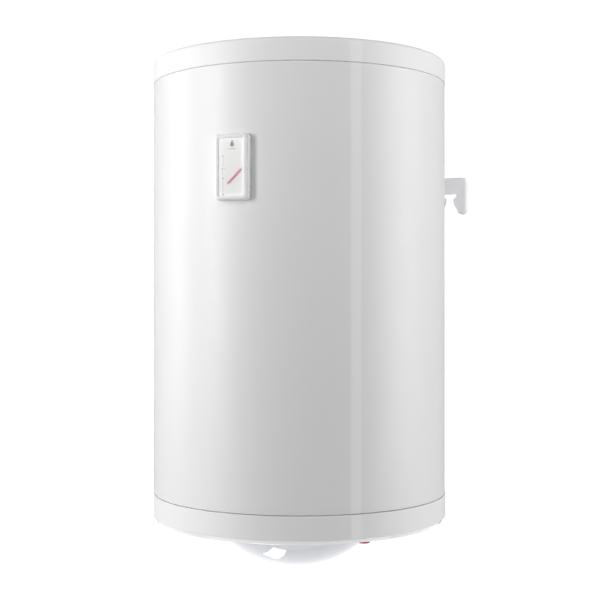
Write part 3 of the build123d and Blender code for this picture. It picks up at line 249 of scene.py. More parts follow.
RUBBER = Finish("seal_rubber", (0.018, 0.018, 0.019), 0.7, Relief.GRAIN, 0.3 * MM, 0.02 * MM, drift=0.1)
SWITCH_PLASTIC = Finish("switch_plastic", (0.03, 0.03, 0.032), 0.45, Relief.GRAIN, 0.3 * MM, 0.02 * MM,
                        drift=0.1)
DIFFUSER_PLASTIC = Finish("diffuser_plastic", (0.72, 0.72, 0.66), 0.5, Relief.GRAIN, 0.5 * MM, 0.01 * MM,
                          bleed=0.2)
HOT_RED = Finish("hot_red", (0.52, 0.035, 0.045), 0.4, Relief.GRAIN, 0.4 * MM, 0.015 * MM, drift=0.05)
COLD_BLUE = Finish("cold_blue", (0.02, 0.09, 0.40), 0.4, Relief.GRAIN, 0.4 * MM, 0.015 * MM, drift=0.05)
LAMP_LENS = Finish("lamp_lens", (0.75, 0.10, 0.03), 0.12, Relief.POLISH, 1 * MM, 0.005 * MM,
                   coat=0.5, bleed=0.3)
WIRE_BROWN = Finish("wire_brown", (0.10, 0.035, 0.012), 0.5, Relief.DRAWN, 0.5 * MM, 0.01 * MM)
WIRE_BLUE = Finish("wire_blue", (0.015, 0.07, 0.38), 0.5, Relief.DRAWN, 0.5 * MM, 0.01 * MM)
WIRE_GREEN = Finish("wire_green", (0.10, 0.36, 0.02), 0.5, Relief.DRAWN, 0.5 * MM, 0.01 * MM)
BRACKET_PAINT = Finish("mantle_enamel", (0.94, 0.945, 0.96), 0.4, Relief.PEEL, 1.6 * MM, 0.01 * MM,
                       drift=0.006, specular=0.3, tag="bracket")
# Painted light: the tray is moulded in the cover's plastic, but its base colour is set much brighter than
# the cover's. This painted highlight stands in for the light from below on its lip.
TRAY_PLASTIC_WITH_PAINTED_LIGHT = Finish("cover_plastic", (0.95, 0.96, 0.98), 0.12, Relief.POLISH, 5 * MM, 0.01 * MM,
                      drift=0.006, gloss_drift=0.03, coat=1.0, tag="tray")
DIAL_INK = Finish("dial_card", (0.30, 0.30, 0.31), 0.5, Relief.GRAIN, 0.2 * MM, 0.004 * MM,
                  drift=0.05, tag="ink")
COVER_INK = Finish("cover_plastic", (0.33, 0.34, 0.36), 0.45, Relief.GRAIN, 0.2 * MM, 0.004 * MM,
                   drift=0.05, tag="ink")
FINISHES = {finish.name: finish for finish in (
    ENAMEL, CAP_PLASTIC, COVER_PLASTIC, TRIM_PLASTIC, DIAL_CARD, NEEDLE_RED, FOAM, TANK_STEEL, ZINC, COPPER,
    ALUMINIUM, MAGNESIUM, RUBBER, SWITCH_PLASTIC, DIFFUSER_PLASTIC, HOT_RED, COLD_BLUE, LAMP_LENS,
    WIRE_BROWN, WIRE_BLUE, WIRE_GREEN)}


def clear_selection() -> None:
    """Deselects every object."""
    bpy.ops.object.select_all(action="DESELECT")


def settle(piece: bpy.types.Object, name: str, smooth: float = 35.0) -> bpy.types.Object:
    """Names a modelled piece, puts its place into its mesh and smooths its shading.

    Args:
        piece: The object, in object mode.
        name: Its name from now on.
        smooth: Edges sharper than this many degrees stay sharp.

    Returns:
        The same object, at the origin.
    """
    clear_selection()
    piece.select_set(True)
    bpy.context.view_layer.objects.active = piece
    bpy.ops.object.transform_apply(location=True, rotation=True, scale=True)
    bpy.ops.object.shade_smooth_by_angle(angle=math.radians(smooth))
    piece.name = piece.data.name = name
    return piece


def pick(piece: bpy.types.Object, kind: str, test: Callable[[Vector, Vector], bool]) -> None:
    """Selects what passes a test, in edit mode.

    Args:
        piece: The object in edit mode.
        kind: FACE, EDGE or VERT.
        test: Takes the middle and the normal (or, for an edge, its run) of an element.
    """
    bpy.ops.mesh.select_mode(type=kind)
    bpy.ops.mesh.select_all(action="DESELECT")
    shape = bmesh.from_edit_mesh(piece.data)
    place = piece.matrix_world
    for item in {"FACE": shape.faces, "EDGE": shape.edges, "VERT": shape.verts}[kind]:
        if kind == "FACE":
            middle, way = item.calc_center_median(), item.normal
        elif kind == "EDGE":
            middle, way = (item.verts[0].co + item.verts[1].co) / 2, item.verts[1].co - item.verts[0].co
        else:
            middle, way = item.co, item.normal
        if test(place @ middle, place.to_3x3() @ way):
            item.select_set(True)
    shape.select_flush_mode()
    bmesh.update_edit_mesh(piece.data)


def edit(piece: bpy.types.Object) -> None:
    """Opens a piece in edit mode with everything selected.

    Args:
        piece: The object, in object mode.
    """
    clear_selection()
    piece.select_set(True)
    bpy.context.view_layer.objects.active = piece
    bpy.ops.object.mode_set(mode="EDIT")
    bpy.ops.mesh.select_mode(type="VERT")
    bpy.ops.mesh.select_all(action="SELECT")


def close_edit() -> None:
    """Merges doubles, points every face outwards and leaves edit mode."""
    bpy.ops.mesh.select_mode(type="VERT")
    bpy.ops.mesh.select_all(action="SELECT")
    bpy.ops.mesh.remove_doubles(threshold=MERGE)
    bpy.ops.mesh.normals_make_consistent(inside=False)
    bpy.ops.object.mode_set(mode="OBJECT")


def arc(centre: tuple[float, float], radius: float, start: float, end: float,
        count: int) -> list[tuple[float, float]]:
    """Points along a round corner of an outline.

    Args:
        centre: Middle of the corner.
        radius: Its radius.
        start: First angle, in degrees.
        end: Last angle, in degrees.
        count: Number of steps.

    Returns:
        The points, both ends included.
    """
    turns = [math.radians(start + (end - start) * k / count) for k in range(count + 1)]
    return [(centre[0] + radius * math.cos(t), centre[1] + radius * math.sin(t)) for t in turns]


def draw_line(outline: Outline, axis: tuple[float, float], closed: bool) -> bpy.types.Object:
    """Draws an outline as a chain of edges beside an upright axis and stays in edit mode.

    Args:
        outline: Radius and height of each point.
        axis: Place of the axis.
        closed: Whether the last point joins the first.

    Returns:
        The object that holds the chain.
    """
    clear_selection()
    first = (axis[0] + outline[0][0], axis[1], outline[0][1])
    bpy.ops.mesh.primitive_plane_add(size=MM, location=first)
    piece = bpy.context.active_object
    bpy.ops.object.mode_set(mode="EDIT")
    bpy.ops.mesh.merge(type="CENTER")
    here = outline[0]
    for radius, height in (*outline[1:], *([outline[0]] if closed else [])):
        step = (radius - here[0], 0.0, height - here[1])
        bpy.ops.mesh.extrude_vertices_move(TRANSFORM_OT_translate={"value": step})
        here = (radius, height)
    bpy.ops.mesh.select_all(action="SELECT")
    bpy.ops.mesh.remove_doubles(threshold=MERGE)
    bpy.ops.mesh.select_all(action="SELECT")
    return piece


def turned(name: str, outline: Outline, axis: tuple[float, float], steps: int = 96, closed: bool = True,
           smooth: float = 35.0) -> bpy.types.Object:
    """Turns an outline about an upright axis.

    Args:
        name: Name of the piece.
        outline: Radius and height of each point.
        axis: Place of the axis.
        steps: Number of steps round the axis.
        closed: Whether the outline closes on itself; an open one starts and ends on the axis.
        smooth: Edges sharper than this many degrees stay sharp.

    Returns:
        The finished piece.
    """
    piece = draw_line(outline, axis, closed)
    bpy.ops.mesh.spin(steps=steps, angle=math.tau, center=(*axis, 0.0), axis=UP)
    close_edit()
    return settle(piece, name, smooth)


def bored(piece: bpy.types.Object, drills: Iterable[Drill]) -> bpy.types.Object:
    """Cuts round holes through a piece.

    Args:
        piece: The piece to cut.
        drills: Middle, radius, length and direction of each hole.

    Returns:
        The same piece.
    """
    for middle, radius, length, way in drills:
        clear_selection()
        turn = way.to_track_quat("Z", "Y").to_euler()
        bpy.ops.mesh.primitive_cylinder_add(vertices=48, radius=radius, depth=length, location=middle,
                                            rotation=turn)
        drill = bpy.context.active_object
        clear_selection()
        piece.select_set(True)
        bpy.context.view_layer.objects.active = piece
        bpy.ops.object.modifier_add(type="BOOLEAN")
        cut = piece.modifiers[-1]
        cut.object = drill
        cut.operation = "DIFFERENCE"
        bpy.ops.object.modifier_apply(modifier=cut.name)
        bpy.data.objects.remove(drill)
    return piece


def front_plate(name: str, middle: Vector, size: tuple[float, float], corner: float, depth: float,
                edge: float = 0.0, flare: float = 0.0) -> bpy.types.Object:
    """Makes a plate that faces the front, with round corners and an eased front edge.

    Args:
        name: Name of the piece.
        middle: Centre of the front face.
        size: Width and height.
        corner: Radius of the corners.
        depth: Thickness, behind the front face.
        edge: Size of the eased edge.
        flare: How much wider each side is at the back; top and bottom grow by half of it.

    Returns:
        The finished plate.
    """
    clear_selection()
    bpy.ops.mesh.primitive_plane_add(size=1.0, location=middle, rotation=FACING_FRONT)
    piece = bpy.context.active_object
    piece.scale = (size[0], size[1], 1.0)
    bpy.ops.object.transform_apply(location=True, rotation=True, scale=True)
    edit(piece)
    bpy.ops.mesh.bevel(affect="VERTICES", offset=corner, segments=8)
    bpy.ops.mesh.select_all(action="SELECT")
    bpy.ops.mesh.extrude_region_move(TRANSFORM_OT_translate={"value": (0.0, depth, 0.0)})
    grow = (1 + 2 * flare / size[0], 1.0, 1 + flare / size[1])
    bpy.ops.transform.resize(value=grow, center_override=middle)
    if edge:
        pick(piece, "EDGE", lambda at, way: abs(at.y - middle.y) < MERGE)
        bpy.ops.mesh.bevel(affect="EDGES", offset=edge, segments=5)
    close_edit()
    return settle(piece, name)


def copied(piece: bpy.types.Object, name: str, step: Vector) -> bpy.types.Object:
    """Copies a piece, with its own mesh, to another place.

    Args:
        piece: The piece to copy.
        name: Name of the copy.
        step: How far the copy stands from it.

    Returns:
        The copy.
    """
    clear_selection()
    piece.select_set(True)
    bpy.context.view_layer.objects.active = piece
    bpy.ops.object.duplicate()
    twin = bpy.context.active_object
    edit(twin)
    bpy.ops.transform.translate(value=step)
    bpy.ops.object.mode_set(mode="OBJECT")
    twin.name = twin.data.name = name
    return twin


def joined(name: str, pieces: Sequence[bpy.types.Object]) -> bpy.types.Object:
    """Joins pieces of one material into one object.

    Args:
        name: Name of the result.
        pieces: What to join; the first one stays.

    Returns:
        The joined piece.
    """
    clear_selection()
    for piece in pieces:
        piece.select_set(True)
    bpy.context.view_layer.objects.active = pieces[0]
    bpy.ops.object.join()
    pieces[0].name = pieces[0].data.name = name
    return pieces[0]


class SubAssembly:
    """Pieces that belong together, built and then dressed."""

    body: ClassVar[str] = "heater"

    def dress(self, piece: bpy.types.Object, finish: Finish, *stands_for: str,
              body: str = "") -> bpy.types.Object:
        """Gives a finished piece its material and its place in the frame.

        Args:
            piece: The finished piece.
            finish: Its finish.
            stands_for: The nodes that it replaces.
            body: The body that it rides on, if not the sub-assembly's.

        Returns:
            The same piece.
        """
        piece.data.materials.clear()
        piece.data.materials.append(finish.material())
        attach(piece, body or self.body)
        if stands_for:
            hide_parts(*stands_for)
        LOG.info("%s: %d faces", piece.name, len(piece.data.polygons))
        return piece


@dataclass
class Casing(SubAssembly):
    """Rolled mantle between two moulded caps, with a tray that closes the bottom."""

    steps: int = 192
    sheet: float = 0.8 * MM
    roll_share: float = 0.75
    top_gap: float = 0.35 * MM
    bottom_gap: float = 0.8 * MM
    groove: float = 2.2 * MM
    wall: float = 2.5 * MM
    corner: float = 6.0 * MM
    edge: float = 0.5 * MM
    rim_edge: float = 0.6 * MM
    crown_rise: float = 20.0 * MM
    lip_step: float = 1.0 * MM
    lip: float = 5.0 * MM
    lip_round: float = 1.6 * MM
    lip_slope: float = 38.0
    hem_above: float = 0.4 * MM
    hem_below: float = 0.3 * MM
    tray_rise: float = 4.0 * MM
    shoulder_share: float = 0.8
    crown_share: float = 0.97
    inner_share: float = 0.96
    spigot_wall: float = 2.0 * MM
    fit: float = 0.2 * MM
    spacer_bore: float = 4.2 * MM
    cover_lap: float = 27.0 * MM
    pipe_room: float = 1.0 * MM
    gland_bore: float = 7.7 * MM
    drill: float = 20.0 * MM
    seam_width: float = 7.0 * MM
    seam_proud: float = 0.8 * MM
    seam_turn: float = -150.0
    seam_ease: float = 0.6
    low: Vector = field(default_factory=lambda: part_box("mantle")[0])
    high: Vector = field(default_factory=lambda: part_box("mantle")[1])

    def __post_init__(self) -> None:
        """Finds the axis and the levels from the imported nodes."""
        self.radius = self.high.x
        self.axis = (0.0, self.low.y + self.radius)
        self.cap_low, self.cap_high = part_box("top_cap")
        self.tray_low, self.tray_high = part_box("bottom_cap")

    def build(self) -> None:
        """Builds and dresses the mantle, its lock seam, the caps and the tray."""
        self.dress(self.mantle(), ENAMEL, "mantle")
        self.dress(self.lock_seam(), ENAMEL)
        self.dress(self.top_cap(), CAP_PLASTIC, "top_cap")
        self.dress(self.bottom_band(), CAP_PLASTIC)
        # The tray's finish carries painted light: its base colour is brighter than the cover plastic it is
        # moulded in.
        self.dress(self.bottom_tray(), TRAY_PLASTIC_WITH_PAINTED_LIGHT, "bottom_cap")

    def mantle(self) -> bpy.types.Object:
        """Turns the sheet, with its two ends rolled in.

        Returns:
            The finished piece.
        """
        outer, inner = self.radius, self.radius - self.sheet
        low, high, roll = self.low.z, self.high.z, self.sheet * self.roll_share
        outline = [(inner, low), (outer - roll, low), (outer, low + roll), (outer, high - roll),
                   (outer - roll, high), (inner, high)]
        return self.opened(turned("mantle_sheet", outline, self.axis, self.steps))

    def opened(self, piece: bpy.types.Object) -> bpy.types.Object:
        """Cuts the openings for the spacer's peg and the sensor cup.

        Args:
            piece: The turned sheet.

        Returns:
            The same piece.
        """
        drills = []
        for name in ("lower_spacer", "sensor_cup"):
            low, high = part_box(name)
            middle = (low + high) / 2
            side = self.axis[1] + math.copysign(self.radius, middle.y - self.axis[1])
            radius = self.spacer_bore if name == "lower_spacer" else (high.x - low.x) / 2 + self.fit
            drills.append((Vector((middle.x, side, middle.z)), radius, self.drill, BACKWARDS))
        return bored(piece, drills)

    def lock_seam(self) -> bpy.types.Object:
        """Folds the upright lock seam, a flat bead down the sheet.

        Returns:
            The finished piece.
        """
        clear_selection()
        turn = math.radians(self.seam_turn)
        reach = self.radius - self.sheet / 2
        side, front = reach * math.cos(turn), self.axis[1] + reach * math.sin(turn)
        middle = (side, front, (self.low.z + self.high.z) / 2)
        bpy.ops.mesh.primitive_cube_add(size=1.0, location=middle, rotation=(0.0, 0.0, turn))
        piece = bpy.context.active_object
        deep = self.sheet + 2 * self.seam_proud
        piece.scale = (deep, self.seam_width, self.high.z - self.low.z - 4 * self.sheet)
        bpy.ops.object.transform_apply(location=True, rotation=True, scale=True)
        edit(piece)
        bpy.ops.mesh.bevel(affect="EDGES", offset=self.seam_proud * self.seam_ease, segments=4)
        close_edit()
        return settle(piece, "mantle_lock_seam")

    def top_cap(self) -> bpy.types.Object:
        """Turns the crowned top cap, with a shadow gap above the mantle.

        Returns:
            The finished piece.
        """
        outer, top = self.cap_high.x, self.cap_high.z
        flat, rim = outer - self.corner, top - self.crown_rise
        crown = (flat**2 + self.crown_rise**2) / (2 * self.crown_rise)
        skirt = self.high.z + self.top_gap
        spigot = self.radius - self.sheet - self.fit
        lean = math.degrees(math.asin(flat / crown))
        outline = [(outer - self.edge, skirt), (outer, skirt + self.edge)]
        outline += arc((flat, rim - self.corner), self.corner, 0.0, 90.0 - lean * self.shoulder_share, 8)
        outline += arc((0.0, top - crown), crown, 90.0 - lean * self.crown_share, 90.0, 18)
        outline += arc((0.0, top - crown), crown - self.wall, 90.0, 90.0 - lean * self.inner_share, 12)
        outline += [(outer - self.wall, rim - self.corner), (outer - self.wall, skirt + self.corner),
                    (spigot - self.spigot_wall, skirt), (spigot - self.spigot_wall, self.cap_low.z),
                    (spigot, self.cap_low.z), (spigot, skirt)]
        outline = [(max(radius, 0.0), height) for radius, height in outline]
        return turned("top_cap_crown", outline, self.axis, self.steps)

    def bottom_band(self) -> bpy.types.Object:
        """Turns the band of the bottom cap, between the seam and the rim.

        Returns:
            The finished piece.
        """
        outer, rim = self.tray_high.x, self.tray_low.z + self.corner
        skirt = self.low.z - self.bottom_gap
        spigot = self.radius - self.sheet - self.groove
        outline = [(spigot, skirt), (outer - self.edge, skirt), (outer, skirt - self.edge),
                   (outer, rim + self.rim_edge), (outer - self.rim_edge, rim), (outer - self.wall, rim),
                   (outer - self.wall, skirt - self.corner), (spigot - self.spigot_wall, skirt),
                   (spigot - self.spigot_wall, self.tray_high.z), (spigot, self.tray_high.z)]
        return turned("bottom_cap_band", outline, self.axis, self.steps)

    def bottom_tray(self) -> bpy.types.Object:
        """Turns the tray with the rounded lip and cuts its openings.

        Returns:
            The finished piece.
        """
        floor, rim = self.tray_low.z, self.tray_low.z + self.corner
        inner = self.tray_high.x - self.lip_step
        flat = inner - self.corner
        outline = [(inner, rim + self.hem_above), (inner, rim - self.hem_below)]
        middle = (inner - self.lip, floor + self.lip_round)
        outline += arc(middle, self.lip_round, -self.lip_slope, -90.0, 6)
        outline += [(0.0, floor), (0.0, floor + self.wall)]
        outline += arc((flat, rim), self.corner - self.wall, -90.0, 0.0, 6)
        top = rim + self.tray_rise
        outline += [(inner - self.wall, top), (inner - self.hem_above, top)]
        piece = turned("bottom_cap_tray", outline, self.axis, self.steps)
        low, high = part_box("thermostat_knob")
        centre = Vector(((low.x + high.x) / 2, (low.y + high.y) / 2, floor))
        drills = [(centre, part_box("flange_cover")[1].x - self.cover_lap, self.drill, UP)]
        for name in ("hot_outlet_pipe", "cold_inlet_pipe"):
            low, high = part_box(name)
            middle = (low + high) / 2
            hole = (high.x - low.x) / 2 + self.pipe_room
            drills.append((Vector((middle.x, middle.y, floor)), hole, self.drill, UP))
        low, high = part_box("gland_body")
        drills.append((Vector((0.0, (low.y + high.y) / 2, floor)), self.gland_bore, self.drill, UP))
        return bored(piece, drills)


@dataclass
class Thermometer(SubAssembly):
    """Raised frame with a printed dial and a red needle."""

    border: float = 5.5 * MM
    corner: float = 5.0 * MM
    edge: float = 1.6 * MM
    sunk: float = 4.0 * MM
    window_depth: float = 5.0 * MM
    bezel_flare: float = 0.4 * MM
    window_edge: float = 0.7 * MM
    card_bed: float = 0.3 * MM
    widened: float = 4.0 * MM
    block_depth: float = 13.2 * MM
    block_flare: float = 1.2 * MM
    block_room: tuple[float, float] = (0.8 * MM, 0.4 * MM)
    block_edge: float = 0.2 * MM
    card_corner: float = 1.5 * MM
    card_depth: float = 0.28 * MM
    scale_side: float = -13.5 * MM
    drop_side: float = 1.0 * MM
    scale_marks: tuple[float, ...] = (15.4 * MM, -2.2 * MM, -15.9 * MM, -38.4 * MM)
    ink: float = 0.06 * MM
    print_corner: float = 0.1 * MM
    top_mark: float = 1.5 * MM
    point_mark: float = 2.0 * MM
    dot: float = 2.2 * MM
    dash: tuple[float, float] = (0.45 * MM, 1.0 * MM)
    dash_pitch: float = 1.9 * MM
    dash_aside: float = 0.4 * MM
    clear: float = 3.4 * MM
    clear_small: float = 2.6 * MM
    rule_width: float = 0.3 * MM
    drop_rise: float = 31.0 * MM
    drop_radius: float = 3.0 * MM
    drop_point: float = 3.2 * MM
    drop_pull: float = 3.6 * MM
    blade: float = 1.05 * MM
    blade_taper: float = 0.85
    blade_rim: float = 0.25 * MM
    tip_inset: float = 0.9 * MM
    spindle: float = 0.8 * MM
    rivet: float = 0.95 * MM
    rivet_height: float = 0.8 * MM
    rivet_round: float = 0.5 * MM

    def __post_init__(self) -> None:
        """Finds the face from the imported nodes."""
        self.low, self.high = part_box("thermometer_frame")
        self.width = self.high.x - self.low.x + self.widened
        self.height = self.high.z - self.low.z
        self.middle = Vector((self.widened / 2, self.low.y, (self.low.z + self.high.z) / 2))
        self.card = self.low.y + self.sunk

    def build(self) -> None:
        """Builds and dresses the frame, the dial, its print and the needle."""
        self.dress(self.block(), TRIM_PLASTIC, "thermometer_frame")
        clear_frame = self.dress(self.frame(), TRIM_PLASTIC)
        clear_frame.visible_shadow = False
        self.dress(self.dial(), DIAL_CARD, "thermometer_dial")
        self.dress(self.scale(), DIAL_INK)
        self.dress(self.drop(), DIAL_INK)
        self.dress(self.needle(), NEEDLE_RED, "thermometer_needle", body="needle")
        self.dress(self.hub(), ZINC, "needle_spindle", body="needle")

    def block(self) -> bpy.types.Object:
        """Shapes the block behind the window, which widens towards the mantle.

        Returns:
            The finished piece.
        """
        step = self.window_depth - HAIR
        size = (self.width + self.block_room[0], self.height + self.block_room[1])
        return front_plate("thermometer_block", self.middle + step * BACKWARDS, size, self.corner,
                           self.block_depth - step, self.block_edge, self.block_flare)

    def frame(self) -> bpy.types.Object:
        """Shapes the clear frame round the window.

        Returns:
            The finished piece.
        """
        size = (self.width, self.height)
        piece = front_plate("thermometer_bezel", self.middle, size, self.corner, self.window_depth,
                            self.edge, self.bezel_flare)
        edit(piece)
        pick(piece, "FACE", lambda at, way: way.y < -0.99 and abs(at.y - self.middle.y) < MERGE)
        bpy.ops.mesh.inset(thickness=self.border - self.edge)
        sink = (0.0, self.sunk + self.card_bed, 0.0)
        bpy.ops.mesh.extrude_region_move(TRANSFORM_OT_translate={"value": sink})
        half = (self.width / 2 - self.border, self.height / 2 - self.border)
        pick(piece, "EDGE", lambda at, way: abs(at.y - self.middle.y) < MERGE
             and abs(at.x - self.middle.x) < half[0] + MERGE and abs(at.z - self.middle.z) < half[1] + MERGE
             and abs(way.y) < MERGE)
        bpy.ops.mesh.bevel(affect="EDGES", offset=self.window_edge, segments=4)
        close_edit()
        return settle(piece, "thermometer_bezel")

    def dial(self) -> bpy.types.Object:
        """Cuts the card behind the window, with an eased edge.

        Returns:
            The finished piece.
        """
        less = 2 * self.border + self.card_bed
        middle = Vector((self.middle.x, self.card, self.middle.z))
        return front_plate("thermometer_card", middle, (self.width - less, self.height - less),
                           self.card_corner, self.card_depth, HAIR)

    def print_plate(self, name: str, side: float, rise: float, width: float, height: float,
                    corner: float = 0.0) -> bpy.types.Object:
        """Lays one thin printed shape on the card.

        Args:
            name: Name of the shape.
            side: Its place to the right of the card's middle.
            rise: Its place above the card's middle.
            width: Its width.
            height: Its height.
            corner: Radius of its corners, if not the usual one.

        Returns:
            The shape.
        """
        middle = Vector((self.middle.x + side, self.card - self.ink, self.middle.z + rise))
        depth = self.ink + 2 * MERGE
        return front_plate(name, middle, (width, height), corner or self.print_corner, depth)

    def lozenge(self, name: str, side: float, rise: float, size: float) -> bpy.types.Object:
        """Lays one thin printed shape with four points on the card.

        Args:
            name: Name of the shape.
            side: Its place to the right of the card's middle.
            rise: Its place above the card's middle.
            size: Length of one side.

        Returns:
            The shape.
        """
        piece = self.print_plate(name, side, rise, size, size)
        edit(piece)
        centre = (self.middle.x + side, self.card, self.middle.z + rise)
        bpy.ops.transform.rotate(value=math.radians(45), orient_axis="Y", center_override=centre)
        bpy.ops.object.mode_set(mode="OBJECT")
        return piece

    def scale(self) -> bpy.types.Object:
        """Prints the scale: four marks on a line that is dashed above and whole below.

        Returns:
            The finished piece.
        """
        top, side_mark, point, bottom = self.scale_marks
        at = self.scale_side
        marks = [
            self.lozenge("mark", at, top, self.top_mark),
            self.lozenge("mark", at, point, self.point_mark),
            self.print_plate("mark", at, bottom, width=self.dot, height=self.dot, corner=1.05 * MM),
            self.print_plate("mark", at - 0.9 * MM, side_mark, width=2.0 * MM, height=0.9 * MM,
                             corner=0.3 * MM),
            self.print_plate("mark", at + 2.6 * MM, side_mark + 0.5 * MM, width=0.7 * MM, height=1.8 * MM,
                             corner=0.2 * MM),
            self.print_plate("mark", at - 1.8 * MM, point - 3.2 * MM, width=0.9 * MM, height=0.6 * MM,
                             corner=0.2 * MM)]
        runs = ((at + self.dash_aside, top - self.clear, 7), (at, side_mark - self.clear_small, 5))
        for side, first, dashes in runs:
            marks.append(self.print_plate("dash", side, first, *self.dash))
            dash = marks[-1]
            for count in range(1, dashes):
                marks.append(copied(dash, "dash", -count * self.dash_pitch * UP))
        high, low = point - self.clear, bottom + self.clear_small
        marks.append(self.print_plate("rule", at, (high + low) / 2, self.rule_width, high - low))
        return joined("thermometer_scale", marks)

    def drop(self) -> bpy.types.Object:
        """Prints a plain water drop over a rule in the upper part of the card.

        Returns:
            The finished piece.
        """
        clear_selection()
        middle = (self.middle.x + self.drop_side, self.card - self.ink, self.middle.z + self.drop_rise)
        bpy.ops.mesh.primitive_circle_add(vertices=40, radius=self.drop_radius, fill_type="NGON",
                                          location=middle, rotation=FACING_FRONT)
        piece = bpy.context.active_object
        bpy.ops.object.transform_apply(location=True, rotation=True, scale=True)
        edit(piece)
        pick(piece, "VERT", lambda at, way: at.z > middle[2] + self.drop_radius - 5 * MERGE)
        bpy.ops.transform.translate(value=self.drop_point * UP, use_proportional_edit=True,
                                    proportional_edit_falloff="SHARP", proportional_size=self.drop_pull)
        bpy.ops.mesh.select_all(action="SELECT")
        bpy.ops.mesh.extrude_region_move(TRANSFORM_OT_translate={"value": (0.0, self.ink, 0.0)})
        close_edit()
        rule = self.print_plate("rule", self.drop_side, 25.2 * MM, width=11 * MM, height=0.6 * MM,
                                corner=0.25 * MM)
        return joined("thermometer_drop", [settle(piece, "drop"), rule])

    def needle(self) -> bpy.types.Object:
        """Stamps the needle: a long blade with round ends, narrower at its tip.

        Returns:
            The finished piece.
        """
        low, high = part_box("thermometer_needle")
        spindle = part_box("needle_spindle")
        pivot = Vector(((spindle[0].x + spindle[1].x) / 2, low.y, (spindle[0].z + spindle[1].z) / 2))
        tip = Vector((low.x + self.tip_inset, low.y, low.z + self.tip_inset))
        run = tip - pivot
        clear_selection()
        bpy.ops.mesh.primitive_circle_add(vertices=32, radius=self.blade, fill_type="NGON", location=pivot,
                                          rotation=FACING_FRONT)
        piece = bpy.context.active_object
        bpy.ops.object.transform_apply(location=True, rotation=True, scale=True)
        edit(piece)
        way = run.normalized()
        pick(piece, "VERT", lambda at, _: (at - pivot).dot(way) > HAIR)
        bpy.ops.transform.translate(value=run)
        taper = (self.blade_taper, 1.0, self.blade_taper)
        bpy.ops.transform.resize(value=taper, center_override=tip)
        bpy.ops.mesh.select_all(action="SELECT")
        bpy.ops.mesh.extrude_region_move(TRANSFORM_OT_translate={"value": (0.0, high.y - low.y, 0.0)})
        pick(piece, "FACE", lambda at, normal: abs(at.y - low.y) < MERGE)
        bpy.ops.mesh.inset(thickness=self.blade_rim)
        close_edit()
        return settle(piece, "thermometer_blade", smooth=20.0)

    def hub(self) -> bpy.types.Object:
        """Turns the spindle, riveted flush into the needle.

        Returns:
            The finished piece.
        """
        low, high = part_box("needle_spindle")
        head, shaft, ease = self.rivet, self.spindle, self.rivet_round
        long = high.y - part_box("thermometer_needle")[0].y - HAIR
        under = long - self.rivet_height
        outline = [(0.0, 0.0), (shaft, 0.0), (shaft, under), (head, under)]
        outline += arc((head - ease, long - ease), ease, 0.0, 90.0, 5) + [(0.0, long)]
        piece = turned("needle_hub", outline, (0.0, 0.0), steps=32, closed=False)
        piece.rotation_euler = FACING_FRONT
        piece.location = ((low.x + high.x) / 2, high.y, (low.z + high.z) / 2)
        return settle(piece, "needle_hub")


